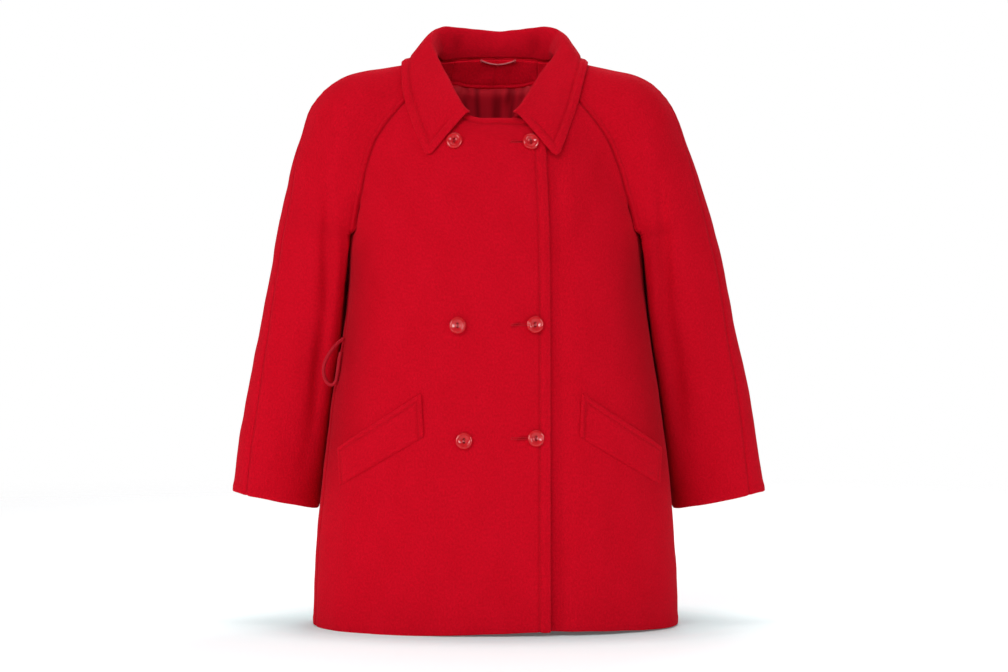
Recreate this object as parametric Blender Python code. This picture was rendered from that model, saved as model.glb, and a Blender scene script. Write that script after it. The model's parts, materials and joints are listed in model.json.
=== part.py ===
"""Pea coat, filled out: double-breasted, raglan sleeves, turned-down collar, welt pockets.

The cloth follows one smooth form, a body and two sleeve tubes, worked out from the tables
below. Each panel is a wall between two curves of that form. Sizes are in millimetres and
heights are above the hem. The mesh is written in metres with the origin at the shoulders.
"""

import math

import bmesh
import bpy
import numpy as np
from mathutils.bvhtree import BVHTree

for old in list(bpy.data.objects):
    bpy.data.objects.remove(old, do_unlink=True)

MM = 0.001
SHOULDER_HEIGHT = 700.0

WALL = 3.0
SEAM_GAP = 0.3
LAP_GAP = 1.8
LAP_EDGE = 67.0
LAP_FADE = 22.0
COLLAR_WALL = 2.4
COLLAR_LIFT = 1.8
COLLAR_RISE = 1.3
FACING_WALL = 1.6
LINING_WALL = 1.0
LINING_GAP = 2.2
WELT_WALL = 2.6
WELT_GAP = 0.9
BUTTON_DIAMETER = 21.5
BUTTON_THICKNESS = 5.0
BUTTON_GAP = 0.3
BUTTON_HOLE = 1.8
BUTTON_HOLE_SPREAD = 3.6
BELT_LOOP_RADIUS = 2.0
BELT_LOOP_CLEAR = 0.9
BELT_LOOP_SEAT = 0.3
HANGER_LOOP_RADIUS = 1.0

BODY_ROUNDNESS = 2.25
PATCH_HALF = 110.0
PATCH_TURN = 90.0
UNDERARM_HEIGHT = 490.0
SLEEVE_CLEAR = 2.3
HIDDEN_RISE = 11.0
HIDDEN_MIDDLE = 4.0
HIDDEN_REACH = 44.0
SEAM_TURN = 0.3
TURN_PLACES = ((178.0, 50.0, 498.0), (190.0, -44.0, 499.0))
TURN_REACH = 32.0
TURN_THINNER = 0.74

PANEL_ROWS = 19
RELAX_STEPS = 90
FRONT_NECK_COLUMNS = 6
BACK_NECK_COLUMNS = 4
TUBE_ROWS = 11
CAP_ROWS = 14
SLEEVE_COLUMNS = 9
NECK_STATION = 0.8
COLLAR_END = 30.0
COLLAR_COLUMNS = 21
STAND_ROWS = 4
FALL_ROWS = 7
FACING_GAP = 0.7
FACING_SEAM = 57.0
FACING_END_DEPTH = 2.0
FACING_COLUMNS = 11
FACING_ROWS = 4
LINING_HEM = 28.0
LINING_SHOULDER = 672.0
LINING_INSET = 6.0
LINING_DROP = 2.5
LINING_COLUMNS = 10
LINING_ROWS = 15
WELT_LEAN = -3.0
BUTTON_SIDES = 20
HANGER_HALF = 24.0
HANGER_MIDDLE = 3.0
HANGER_HEIGHT = 739.0
HANGER_SAG = 5.0
LAP_HOLD = 12.0


class Table:
    """Rows under named columns, read between the rows with a smooth monotone curve."""

    def __init__(self, columns, rows):
        self.columns = columns.split()
        self.rows = np.array(rows, float)

    def column(self, name):
        return self.rows[:, self.columns.index(name)]

    def at(self, where, name, key=None):
        keys = self.column(key or self.columns[0])
        values = self.column(name)
        order = np.argsort(keys)
        return smooth_between(np.asarray(where, float), keys[order], values[order])


def smooth_between(where, keys, values):
    steps = np.diff(keys)
    slopes = np.diff(values) / steps
    tangents = np.zeros(len(keys))
    same = slopes[:-1] * slopes[1:] > 0
    before = 2 * steps[1:] + steps[:-1]
    after = steps[1:] + 2 * steps[:-1]
    with np.errstate(divide="ignore", invalid="ignore"):
        middle = (before + after) / (before / slopes[:-1] + after / slopes[1:])
    tangents[1:-1] = np.where(same, middle, 0.0)
    tangents[0] = slopes[0]
    tangents[-1] = slopes[-1]
    clipped = np.clip(where, keys[0], keys[-1])
    index = np.clip(np.searchsorted(keys, clipped) - 1, 0, len(steps) - 1)
    width = steps[index]
    part = (clipped - keys[index]) / width
    square = part * part
    cube = square * part
    start = (2 * cube - 3 * square + 1) * values[index]
    start_turn = (cube - 2 * square + part) * width * tangents[index]
    end = (3 * square - 2 * cube) * values[index + 1]
    end_turn = (cube - square) * width * tangents[index + 1]
    return start + start_turn + end + end_turn


def ease(value):
    value = np.clip(value, 0.0, 1.0)
    return value * value * (3 - 2 * value)


# The body's level sections. sway is how far the coat leans to one side at that height.
BODY = Table(
    "height half_width front back sway sleeve_sway",
    (
        (-20, 238, 153, 136, -0.5, 0),
        (0, 237, 152, 135, -0.5, 0),
        (100, 232, 150, 132, -0.5, 3),
        (200, 223, 145, 128, -0.3, 3),
        (300, 210, 138, 122, 0.0, 3),
        (370, 199, 132, 118, 0.3, 2),
        (443, 192, 127, 115, 0.0, 2),
        (505, 189.5, 122, 113, -1.0, 1),
        (560, 181, 115, 110, -3.0, 1),
        (600, 170, 107, 107, -4.5, 0),
        (645, 150, 91, 101, -5.0, 0),
        (680, 130, 66, 94, -5.0, 0),
        (700, 116, 45, 87, -4.0, 0),
        (720, 96, 22, 79, -2.0, 0),
        (738, 76, -2, 69, 0.0, 0),
        (756, 62, -16, 60, 0.5, 0),
        (800, 50, -24, 48, 1.0, 0),
    ),
)

# The middle line of a sleeve with its radii, from the neck over the shoulder to the cuff.
SLEEVE = Table(
    "station across height level_radius depth_radius depth_centre",
    (
        (0, 46, 666, 58, 40, 8),
        (1, 80, 663, 66, 47, 7),
        (2, 118, 652, 69, 57, 5),
        (3, 159, 643, 68, 64, 3),
        (3.6, 181, 627, 69.5, 66, 3),
        (4.2, 190, 595, 70, 66, 3),
        (5, 195, 560, 73, 63, 4),
        (6, 209, 505, 73.5, 59, 6),
        (7, 225, 443, 71.5, 56, 13),
        (8, 243.5, 370, 68, 53, 21),
        (9, 265, 283, 65.7, 49, 27),
        (10, 290, 158, 60, 43, 30),
        (11, 296, 128, 59, 41, 30),
    ),
)
SLEEVE_STEPS = 111
CUFF_STATION = 10.1

# Where the side seams run, front to back.
SIDE_SEAM = Table(
    "height right_depth left_depth",
    ((-20, -50, 20), (100, -47, 20), (365, -35, 18), (440, -20, 12), (490, 4, 4), (520, 4, 4)),
)

# Raglan seams from the underarm to the neck, and the neckline on from there to the middle.
RAGLAN_FRONT = Table(
    "across height",
    ((181, 500), (174, 530), (161, 586), (149, 618), (134, 642), (114, 666), (94, 690), (75, 712)),
)
RAGLAN_BACK = Table(
    "across height",
    ((169, 502), (167, 530), (161, 570), (152, 610), (139, 645), (121, 676), (104, 702), (88, 720), (72, 733)),
)
NECK_FRONT = Table(
    "across height",
    ((75, 712), (67, 699), (57, 682), (46, 663), (38, 652), (31, 646), (0, 644)),
)
NECK_BACK = Table("across height", ((72, 733), (58, 736), (40, 738), (20, 739), (0, 739)))

# How far the hem stands above its lowest level.
HEM = Table(
    "across right_rise left_rise",
    (
        (-265, 1, 1),
        (-200, 0, 0),
        (-135, -1, 0),
        (-60, 1, 3),
        (0, 3, 5),
        (67, 5, 6),
        (140, 4, 4),
        (200, 1, 1),
        (265, 1, 1),
    ),
)

# Row positions of a raglan sleeve above the underarm: share of the raglan seam and overarm seam.
RAGLAN_ROWS = Table(
    "row raglan_share overarm_share middle_share",
    ((0, 0, 0, 0), (1, 0.06, 0.03, 0.006), (2, 0.125, 0.07, 0.028), (3, 0.19, 0.115, 0.06), (5, 0.31, 0.23, 0.19),
     (9, 0.58, 0.52, 0.5), (14, 1, 1, 1)),
)

# The overarm seam's turn towards the front, in degrees, by sleeve station.
OVERARM = Table("station turn", ((0, 0), (2, 2), (3, 10), (4, 20), (5, 24), (7, 26), (9, 36), (11, 46)))

# Soft folds pressed into the form: a line on the front or the back, its width and its depth.
FOLDS = Table(
    "side across_a height_a across_b height_b width depth",
    (
        (-1, 213, 560, 218, 420, 7, 5.0),
        (-1, 218, 420, 238, 260, 8, 4.5),
        (-1, 238, 260, 250, 190, 9, 2.0),
        (-1, 199, 500, 203, 400, 5, -2.5),
        (-1, 262, 470, 290, 300, 12, 1.6),
        (1, 209, 560, 216, 420, 8, 5.0),
        (1, 216, 420, 240, 250, 9, 4.0),
        (1, 240, 520, 262, 360, 11, 2.2),
        (1, 150, 560, 120, 400, 13, 2.5),
        (1, 70, 200, 78, -20, 16, 3.0),
        (1, 165, 260, 176, -20, 15, 3.0),
        (-1, 150, 190, 162, -20, 16, 1.6),
    ),
)

# The collar from its front end round to the middle of the back: the fold line and outer edge.
COLLAR = Table(
    "share fold_x fold_y fold_height edge_x edge_y edge_height",
    (
        (0.00, 31, -95, 652, 86, -118, 599),
        (0.15, 44, -78, 671, 99, -104, 630),
        (0.32, 58, -48, 699, 108, -84, 662),
        (0.47, 75, -14, 729, 115, -50, 693),
        (0.60, 86, 12, 754, 121, 4, 724),
        (0.70, 83, 37, 769, 117, 48, 727),
        (0.84, 61, 60, 778.5, 83, 87, 715),
        (1.00, 0, 75, 774.5, 0, 103, 703),
    ),
)

WELTS = Table(
    "side inner_x inner_top inner_low outer_x outer_top outer_low",
    ((-1, 93, 297, 244, 200, 228, 181), (1, 108, 297, 244, 211, 228, 181)),
)

BUTTONS = Table(
    "column row across height",
    ((0, 0, -51.5, 614), (0, 1, -47, 383), (0, 2, -39, 240), (1, 0, 44, 613.5), (1, 1, 49, 384), (1, 2, 50, 243)),
)

# The cord loop, from the right side seam out in front of the sleeve and back to the seam.
BELT_LOOP = Table(
    "across height depth",
    (
        (193.5, 366.8, -40), (198.5, 364.5, -43), (206, 357.7, -46), (214, 346.9, -48), (219.5, 336.7, -48),
        (221.5, 326.4, -48), (219.5, 316.1, -48), (215, 308, -48), (209.5, 306, -48), (205, 309, -48),
        (202.3, 316, -48), (201, 327, -47), (199, 338, -45), (197, 349, -42),
    ),
)

# How deep the neck facing is, by distance from the middle of the back.
FACING_DEPTH = Table("across depth", ((0, 41), (30, 40), (57, 33), (75, 30), (100, 30)))

# A button's outline from the middle of its back to the middle of its front, as shares.
BUTTON_PROFILE = Table(
    "reach rise",
    ((0, 0), (0.8, 0), (0.97, 0.25), (1, 0.5), (0.93, 0.82), (0.8, 1), (0.62, 0.86), (0.45, 0.62), (0, 0.58)),
)


def sleeve_line():
    stations = np.linspace(0, 11, SLEEVE_STEPS)
    line = {"station": stations}
    for name in SLEEVE.columns[1:]:
        line[name] = SLEEVE.at(stations, name)
    for name in ("across", "height"):
        soft = np.convolve(np.pad(line[name], 4, mode="reflect", reflect_type="odd"), np.ones(9) / 9, "valid")
        line[name] = soft
    across_step = np.gradient(line["across"])
    height_step = np.gradient(line["height"])
    length = np.hypot(across_step, height_step)
    line["along_across"] = across_step / length
    line["along_height"] = height_step / length
    for name in ("level_radius", "depth_radius", "depth_centre"):
        line[name + "_slope"] = np.gradient(line[name]) / length
    return line


LINE = sleeve_line()


def body_distance(points):
    height = points[:, 2]
    half_width = BODY.at(height, "half_width")
    front = BODY.at(height, "front")
    back = BODY.at(height, "back")
    centre = (back - front) / 2
    half_depth = (back + front) / 2
    across = np.abs(points[:, 0])
    depth = np.abs(points[:, 1] - centre)
    ratio = (across / half_width) ** BODY_ROUNDNESS + (depth / half_depth) ** BODY_ROUNDNESS
    ratio = np.maximum(ratio, 1e-9) ** (1 / BODY_ROUNDNESS)
    return np.maximum(np.hypot(across, depth), 1.0) * (1 - 1 / np.maximum(ratio, 0.02))


def nearest_on_sleeve(across, height):
    gaps = (across[:, None] - LINE["across"]) ** 2 + (height[:, None] - LINE["height"]) ** 2
    return np.argmin(gaps, axis=1)


def sleeve_distance(points):
    across = np.abs(points[:, 0])
    height = points[:, 2]
    index = nearest_on_sleeve(across, height)
    out_x = across - LINE["across"][index]
    out_z = height - LINE["height"][index]
    along = out_x * LINE["along_across"][index] + out_z * LINE["along_height"][index]
    sideways = out_x * LINE["along_height"][index] - out_z * LINE["along_across"][index]
    end = (index == 0) | (index == SLEEVE_STEPS - 1)
    beyond = np.where(end, np.abs(along), 0.0)
    along = np.where(end, 0.0, along)
    level_radius = LINE["level_radius"][index] + along * LINE["level_radius_slope"][index]
    depth_radius = LINE["depth_radius"][index] + along * LINE["depth_radius_slope"][index]
    depth_centre = LINE["depth_centre"][index] + along * LINE["depth_centre_slope"][index]
    depth = points[:, 1] - depth_centre
    level = np.hypot(sideways, beyond)
    ratio = np.maximum(np.hypot(level / level_radius, depth / depth_radius), 0.02)
    return np.maximum(np.hypot(level, depth), 1.0) * (1 - 1 / ratio)


def join(first, second, softness):
    overlap = np.maximum(softness - np.abs(first - second), 0.0) / softness
    return np.minimum(first, second) - overlap * overlap * softness / 4


def softness_at(height):
    return 1.0 + 31.0 * ease((height - 505) / 90)


def fold_depth(points):
    across = np.abs(points[:, 0])
    height = points[:, 2]
    total = np.zeros(len(points))
    for side, x_a, z_a, x_b, z_b, width, depth in FOLDS.rows:
        run_x = x_b - x_a
        run_z = z_b - z_a
        part = ((across - x_a) * run_x + (height - z_a) * run_z) / (run_x**2 + run_z**2)
        gap = np.hypot(across - x_a - part * run_x, height - z_a - part * run_z)
        fade = ease((part + 0.25) / 0.5) * ease((1.25 - part) / 0.5)
        facing = ease(side * (points[:, 1] - 6) / 30)
        total += depth * fade * facing * np.exp(-((gap / width) ** 2))
    return total


def trunk(points):
    """Distance to the body, with the shoulders but not the hanging part of the sleeves."""
    lift = 60 * (1 - ease((points[:, 2] - 500) / 45))
    both = join(body_distance(points), sleeve_distance(points) + lift, softness_at(points[:, 2]))
    return both + fold_depth(points)


def seam_ceiling(depth):
    """The height of the raglan seam where it runs hidden between the sleeve and the body."""
    share = np.clip(np.abs(depth - HIDDEN_MIDDLE) / HIDDEN_REACH, 0.0, 1.0)
    return UNDERARM_HEIGHT + HIDDEN_RISE * share**1.3


def arm(points):
    """Distance to the sleeve's outside, held clear of the body below the underarm."""
    body = body_distance(points)
    both = join(body, sleeve_distance(points), softness_at(points[:, 2]))
    above = points[:, 2] - seam_ceiling(points[:, 1])
    clear = SLEEVE_CLEAR - 200 * ease((above - 0.5) / 6)
    return -join(-both, body - clear, 6.0) + fold_depth(points)


def slope(field, points, step=0.4):
    parts = []
    for axis in range(3):
        shift = np.zeros(3)
        shift[axis] = step
        parts.append(field(points + shift) - field(points - shift))
    direction = np.stack(parts, axis=1)
    return direction / np.maximum(np.linalg.norm(direction, axis=1, keepdims=True), 1e-9)


def cast(field, starts, directions, reach=420.0, steps=70):
    """Where each ray first leaves the field's inside."""
    directions = directions / np.linalg.norm(directions, axis=1, keepdims=True)
    low = np.zeros(len(starts))
    high = np.full(len(starts), reach)
    found = np.zeros(len(starts), bool)
    for step in range(1, steps + 1):
        far = np.full(len(starts), reach * step / steps)
        waiting = ~found
        outside = field(starts[waiting] + directions[waiting] * far[waiting, None]) > 0
        hits = np.flatnonzero(waiting)[outside]
        high[hits] = far[hits]
        low[hits] = reach * (step - 1) / steps
        found[hits] = True
        if found.all():
            break
    for _ in range(14):
        middle = (low + high) / 2
        outside = field(starts + directions * middle[:, None]) > 0
        high = np.where(outside, middle, high)
        low = np.where(outside, low, middle)
    return starts + directions * ((low + high) / 2)[:, None]


def on_trunk(across, heights, side):
    """Points of the trunk at these places, met by a ray running straight forward or back."""
    across = np.asarray(across, float)
    heights = np.asarray(heights, float)
    starts = np.stack([across, np.full(across.shape, 10.0), heights], axis=1)
    directions = np.tile((0.0, float(side), 0.0), (len(across), 1))
    return cast(trunk, starts, directions)


def patch_point(along, heights, side):
    """Points of the trunk by distance along a level section, counted from the middle."""
    turn = np.sign(along) * np.maximum(np.abs(along) - PATCH_HALF, 0.0) / PATCH_TURN
    starts = np.stack([np.clip(along, -PATCH_HALF, PATCH_HALF), np.full(along.shape, 0.0), heights], axis=1)
    directions = np.stack([np.sin(turn), side * np.cos(turn), np.zeros(along.shape)], axis=1)
    return cast(trunk, starts, directions)


def patch_along(points, side):
    across = np.abs(points[:, 0])
    turn = np.arctan2(across - PATCH_HALF, np.maximum(side * points[:, 1], -1e9))
    beyond = PATCH_HALF + PATCH_TURN * turn
    return np.sign(points[:, 0]) * np.where(across > PATCH_HALF, beyond, across)


def length_along(line):
    steps = np.linalg.norm(np.diff(line, axis=0), axis=1)
    return np.concatenate([[0.0], np.cumsum(steps)])


def even(line, shares):
    """Points at these shares of a line's length."""
    run = length_along(line)
    where = np.asarray(shares) * run[-1]
    return np.stack([np.interp(where, run, line[:, axis]) for axis in range(line.shape[1])], axis=1)


def underarm_point(side):
    """The top of a side seam, on the wearer's right (-1) or left (1)."""
    name = "right_depth" if side < 0 else "left_depth"
    depth = float(SIDE_SEAM.at(UNDERARM_HEIGHT, name))
    start = np.array([[0.0, depth, UNDERARM_HEIGHT]])
    return cast(trunk, start, np.array([[float(side), 0.0, 0.0]]))[0]


def raglan(table, facing, side):
    """A raglan seam from the underarm to the neck, on the wearer's right or left."""
    under = underarm_point(side)
    visible = np.stack([table.column("across"), table.column("height")], axis=1)
    places = even(visible, np.linspace(0, 1, 40))
    seam = on_trunk(side * places[:, 0], places[:, 1], facing)
    first = patch_along(seam[:1], facing)[0]
    last = patch_along(under[None], facing)[0]
    shares = np.linspace(0, 1, 13)[:-1]
    along = last + (first - last) * shares
    heights = np.full(12, UNDERARM_HEIGHT)
    for _ in range(3):
        hidden = patch_point(along, heights, facing)
        heights = seam_ceiling(hidden[:, 1])
    return np.concatenate([hidden, seam])


def seam_points(facing, side):
    """The raglan seam's points that its body panel and its sleeve share."""
    rows = np.linspace(0, RAGLAN_ROWS.rows[-1, 0], CAP_ROWS + 1)
    table = RAGLAN_FRONT if facing < 0 else RAGLAN_BACK
    return even(raglan(table, facing, side), RAGLAN_ROWS.at(rows, "raglan_share"))


def coons(low, high, start, end):
    """A grid between four lines: low and high run across, start and end run up."""
    rows = len(start)
    columns = len(low)
    down = np.linspace(0, 1, rows)[:, None, None]
    over = np.linspace(0, 1, columns)[None, :, None]
    between = (1 - down) * low[None] + down * high[None]
    between += (1 - over) * start[:, None] + over * end[:, None]
    corners = (1 - down) * ((1 - over) * low[0] + over * low[-1])
    corners += down * ((1 - over) * high[0] + over * high[-1])
    return between - corners


def relaxed(flat):
    """Spreads a flat grid's inner points so that no cell folds over another."""
    grid = flat.copy()
    for _ in range(RELAX_STEPS):
        over = (grid[1:-1, 2:] - grid[1:-1, :-2]) / 2
        down = (grid[2:, 1:-1] - grid[:-2, 1:-1]) / 2
        turn = (grid[2:, 2:] - grid[2:, :-2] - grid[:-2, 2:] + grid[:-2, :-2]) / 4
        long = np.sum(down * down, axis=2, keepdims=True)
        wide = np.sum(over * over, axis=2, keepdims=True)
        skew = np.sum(over * down, axis=2, keepdims=True)
        level = grid[1:-1, 2:] + grid[1:-1, :-2]
        upright = grid[2:, 1:-1] + grid[:-2, 1:-1]
        grid[1:-1, 1:-1] = (long * level + wide * upright - 2 * skew * turn) / (2 * (long + wide))
    return grid


def hold_back(grid, edges):
    """Draws the named edges of a grid in by half a seam gap."""
    grid = grid.copy()
    half = SEAM_GAP / 2 + 0.02
    moves = {
        "low": ((0, slice(None)), (1, slice(None))),
        "high": ((-1, slice(None)), (-2, slice(None))),
        "start": ((slice(None), 0), (slice(None), 1)),
        "end": ((slice(None), -1), (slice(None), -2)),
    }
    for edge in edges:
        outer, inner = moves[edge]
        way = grid[inner] - grid[outer]
        grid[outer] += half * way / np.maximum(np.linalg.norm(way, axis=-1, keepdims=True), 1e-6)
    return grid


def normals_of(field, grid, step=0.4):
    return slope(field, grid.reshape(-1, 3), step).reshape(grid.shape)


def leaning(points):
    """The coat's lean to one side, its sleeves' own lean, and its origin at the shoulders."""
    moved = points.copy()
    heights = points[..., 2].ravel()
    across = np.abs(points[..., 0].ravel())
    sleeve_part = ease((across - BODY.at(heights, "half_width") - 4) / 50)
    shift = BODY.at(heights, "sway") + sleeve_part * BODY.at(heights, "sleeve_sway")
    moved[..., 0] += shift.reshape(moved.shape[:-1])
    moved[..., 2] -= SHOULDER_HEIGHT
    return moved * MM


def straight_across(across, height):
    """A place across the coat before it leans."""
    return across - float(BODY.at(height, "sway"))


MATERIALS = {
    "wool": ((0.55, 0.006, 0.018, 1.0), 0.9),
    "satin": ((0.20, 0.006, 0.014, 1.0), 0.35),
    "button_plastic": ((0.60, 0.010, 0.022, 1.0), 0.15),
    "cord": ((0.45, 0.006, 0.018, 1.0), 0.7),
}


def finish(name, vertices, faces, material):
    mesh = bpy.data.meshes.new(name)
    mesh.from_pydata([tuple(map(float, vertex)) for vertex in vertices], [], faces)
    builder = bmesh.new()
    builder.from_mesh(mesh)
    bmesh.ops.recalc_face_normals(builder, faces=builder.faces)
    if builder.calc_volume(signed=True) < 0:
        bmesh.ops.reverse_faces(builder, faces=builder.faces)
    builder.to_mesh(mesh)
    builder.free()
    for polygon in mesh.polygons:
        polygon.use_smooth = True
    colour, roughness = MATERIALS[material]
    look = bpy.data.materials.new(name + "_" + material)
    look.use_nodes = True
    shader = look.node_tree.nodes["Principled BSDF"]
    shader.inputs["Base Color"].default_value = colour
    shader.inputs["Roughness"].default_value = roughness
    mesh.materials.append(look)
    part = bpy.data.objects.new(name, mesh)
    bpy.context.scene.collection.objects.link(part)
    return part


def facets(grid):
    """The triangles of a grid, each cell cut along its shorter diagonal."""
    rows, columns = grid.shape[:2]
    rising = np.linalg.norm(grid[1:, 1:] - grid[:-1, :-1], axis=2)
    falling = np.linalg.norm(grid[1:, :-1] - grid[:-1, 1:], axis=2)
    triangles = []
    for row in range(rows - 1):
        for column in range(columns - 1):
            a = row * columns + column
            b = a + 1
            c = b + columns
            d = a + columns
            if rising[row, column] <= falling[row, column]:
                triangles += [(a, b, c), (a, c, d)]
            else:
                triangles += [(a, b, d), (b, c, d)]
    return triangles


def wall(name, outer, inner, material="wool"):
    """A closed wall between two grids of the same size."""
    rows, columns = outer.shape[:2]
    vertices = np.concatenate([leaning(outer).reshape(-1, 3), leaning(inner).reshape(-1, 3)])
    other = rows * columns
    faces = facets(outer)
    faces += [(other + c, other + b, other + a) for a, b, c in facets(inner)]

    def place(row, column):
        return row * columns + column

    rim = [place(0, column) for column in range(columns)]
    rim += [place(row, columns - 1) for row in range(1, rows)]
    rim += [place(rows - 1, column) for column in range(columns - 2, -1, -1)]
    rim += [place(row, 0) for row in range(rows - 2, 0, -1)]
    for index, here in enumerate(rim):
        after = rim[(index + 1) % len(rim)]
        across = math.dist(vertices[after], vertices[other + here])
        if across <= math.dist(vertices[here], vertices[other + after]):
            faces += [(after, here, other + here), (after, other + here, other + after)]
        else:
            faces += [(after, here, other + after), (here, other + here, other + after)]
    return finish(name, vertices, faces, material)


def tube(name, centres, radius, material="cord", sides=8):
    """A closed round cord along a line of points."""
    tangents = np.gradient(centres, axis=0)
    tangents /= np.linalg.norm(tangents, axis=1, keepdims=True)
    side_way = np.cross(tangents[0], (0.13, 0.21, 0.97))
    vertices = []
    for centre, tangent in zip(centres, tangents):
        side_way = side_way - tangent * np.dot(side_way, tangent)
        side_way = side_way / np.linalg.norm(side_way)
        other_way = np.cross(tangent, side_way)
        for turn in range(sides):
            angle = 2 * math.pi * turn / sides
            vertices.append(centre + radius * (math.cos(angle) * side_way + math.sin(angle) * other_way))
    faces = []
    for ring in range(len(centres) - 1):
        for turn in range(sides):
            after = (turn + 1) % sides
            base = ring * sides
            faces.append((base + turn, base + after, base + sides + after, base + sides + turn))
    faces.append(tuple(range(sides)))
    last = (len(centres) - 1) * sides
    faces.append(tuple(last + turn for turn in range(sides)))
    return finish(name, leaning(np.array(vertices)), faces, material)


SIDE_NAMES = {-1: "right", 1: "left"}


def neck_edge(facing, side, reach):
    """The neckline from the raglan seam towards the middle, as along-and-height places."""
    table = NECK_FRONT if facing < 0 else NECK_BACK
    places = np.stack([side * table.column("across"), table.column("height")], axis=1)
    if reach:
        places = np.concatenate([places, [(-side * reach, table.column("height")[-1] - 1)]])
    count = FRONT_NECK_COLUMNS if facing < 0 else BACK_NECK_COLUMNS
    return even(places, np.linspace(0, 1, count + 1))[1:]


def body_panel(side, facing, reach=0.0):
    """A front or back panel: its outer points from the hem up and from the middle to the side."""
    seam = seam_points(facing, side)
    seam_flat = np.stack([patch_along(seam, facing), seam[:, 2]], axis=1)
    high = np.concatenate([seam_flat, neck_edge(facing, side, reach)])[::-1]
    columns = len(high)
    depth_name = "right_depth" if side < 0 else "left_depth"
    heights = np.linspace(0, UNDERARM_HEIGHT, 24)
    starts = np.stack([np.zeros(24), SIDE_SEAM.at(heights, depth_name), heights], axis=1)
    seam_side = cast(trunk, starts, np.tile((float(side), 0.0, 0.0), (24, 1)))
    side_line = np.stack([patch_along(seam_side, facing), heights], axis=1)
    edge_line = np.stack([np.full(24, -side * reach), np.linspace(0, high[0, 1], 24)], axis=1)
    low = np.linspace(edge_line[0], side_line[0], columns)
    low[:, 1] += HEM.at(low[:, 0], "right_rise" if side < 0 else "left_rise") if facing < 0 else 1.0
    edge_line[0] = low[0]
    side_line[0] = low[-1]
    shares = np.linspace(0, 1, PANEL_ROWS)
    flat = relaxed(coons(low, high, even(edge_line, shares), even(side_line, shares)))
    outer = patch_point(flat[..., 0].ravel(), flat[..., 1].ravel(), facing).reshape(flat.shape[:2] + (3,))
    outer[-1, -len(seam):] = seam[::-1]
    return outer


def faceted(grids):
    """A search tree over the flat triangles between the points of some grids."""
    points = []
    triangles = []
    for grid in grids:
        first = len(points)
        triangles += [(first + a, first + b, first + c) for a, b, c in facets(grid)]
        points += [tuple(map(float, point)) for point in grid.reshape(-1, 3)]
    return BVHTree.FromPolygons(points, triangles)


def depth_to(tree, points, ways, missing=WALL):
    """How far inside the form the facets of a tree lie below each point."""
    depths = []
    for point, way in zip(points.reshape(-1, 3), ways.reshape(-1, 3)):
        deepest = missing
        for aside in (-0.7, 0.7):
            start = point + way * 12 + np.array([aside, 0.0, 0.0])
            hit = tree.ray_cast(tuple(map(float, start)), tuple(map(float, -way)), 30.0)
            if hit[0] is not None:
                deepest = max(deepest, hit[3] - 12)
        depths.append(deepest)
    return np.array(depths).reshape(points.shape[:-1])


def wall_at(points):
    """The cloth's thickness, less where the raglan seams turn sharply in under the arm."""
    either = np.stack([np.abs(points[..., 0]), points[..., 1], points[..., 2]], axis=-1)
    gaps = [np.sum((either - np.array(place)) ** 2, axis=-1, keepdims=True) for place in TURN_PLACES]
    near = np.exp(-np.minimum(gaps[0], gaps[1]) / TURN_REACH**2)
    return WALL * (1 - TURN_THINNER * near)


def lap_depth(tree, outer, out_way):
    """How far the under front lies inside the form where the upper front covers it."""
    under = depth_to(tree, outer, out_way) + LAP_GAP
    return under * ease((LAP_EDGE + LAP_HOLD + LAP_FADE - outer[..., 0]) / LAP_FADE)


def build_body():
    """The four body panels. Returns their outer and inner grids by side and facing."""
    outers = {}
    inners = {}
    for side in (-1, 1):
        for facing in (-1, 1):
            reach = LAP_EDGE if facing < 0 else 0.0
            outer = body_panel(side, facing, reach)
            outer = hold_back(outer, ["high", "end"] if facing < 0 else ["high", "end", "start"])
            out_way = normals_of(trunk, outer)
            if facing < 0 and side > 0:
                upper = faceted([inners[(-1, -1)]])
                outer = outer - out_way * lap_depth(upper, outer, out_way)[..., None]
            name = ("front_" if facing < 0 else "back_") + SIDE_NAMES[side]
            inner = outer - out_way * wall_at(outer)
            wall(name, outer, inner)
            outers[(side, facing)] = outer
            inners[(side, facing)] = inner
    return outers, inners


def on_panel(tree, across, heights):
    """Points of a front panel's outside straight ahead of these places."""
    found = []
    for x, z in zip(across, heights):
        hit = tree.ray_cast((float(x), -400.0, float(z)), (0.0, 1.0, 0.0))[0]
        found.append(tuple(hit))
    return np.array(found)


def middle_line(station):
    """A sleeve's middle point and the level direction out of its middle line."""
    index = float(np.clip(station / 11 * (SLEEVE_STEPS - 1), 0, SLEEVE_STEPS - 1))
    steps = np.arange(SLEEVE_STEPS)
    read = {name: float(np.interp(index, steps, values)) for name, values in LINE.items()}
    centre = np.array([read["across"], read["depth_centre"], read["height"]])
    outward = np.array([-read["along_height"], 0.0, read["along_across"]])
    return centre, outward / np.linalg.norm(outward)


def overarm_way(station, outward):
    turn = math.radians(float(OVERARM.at(station, "turn")))
    return math.cos(turn) * outward + math.sin(turn) * np.array([0.0, -1.0, 0.0])


def mirrored(points, side):
    return points * np.array([float(side), 1.0, 1.0])


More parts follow.
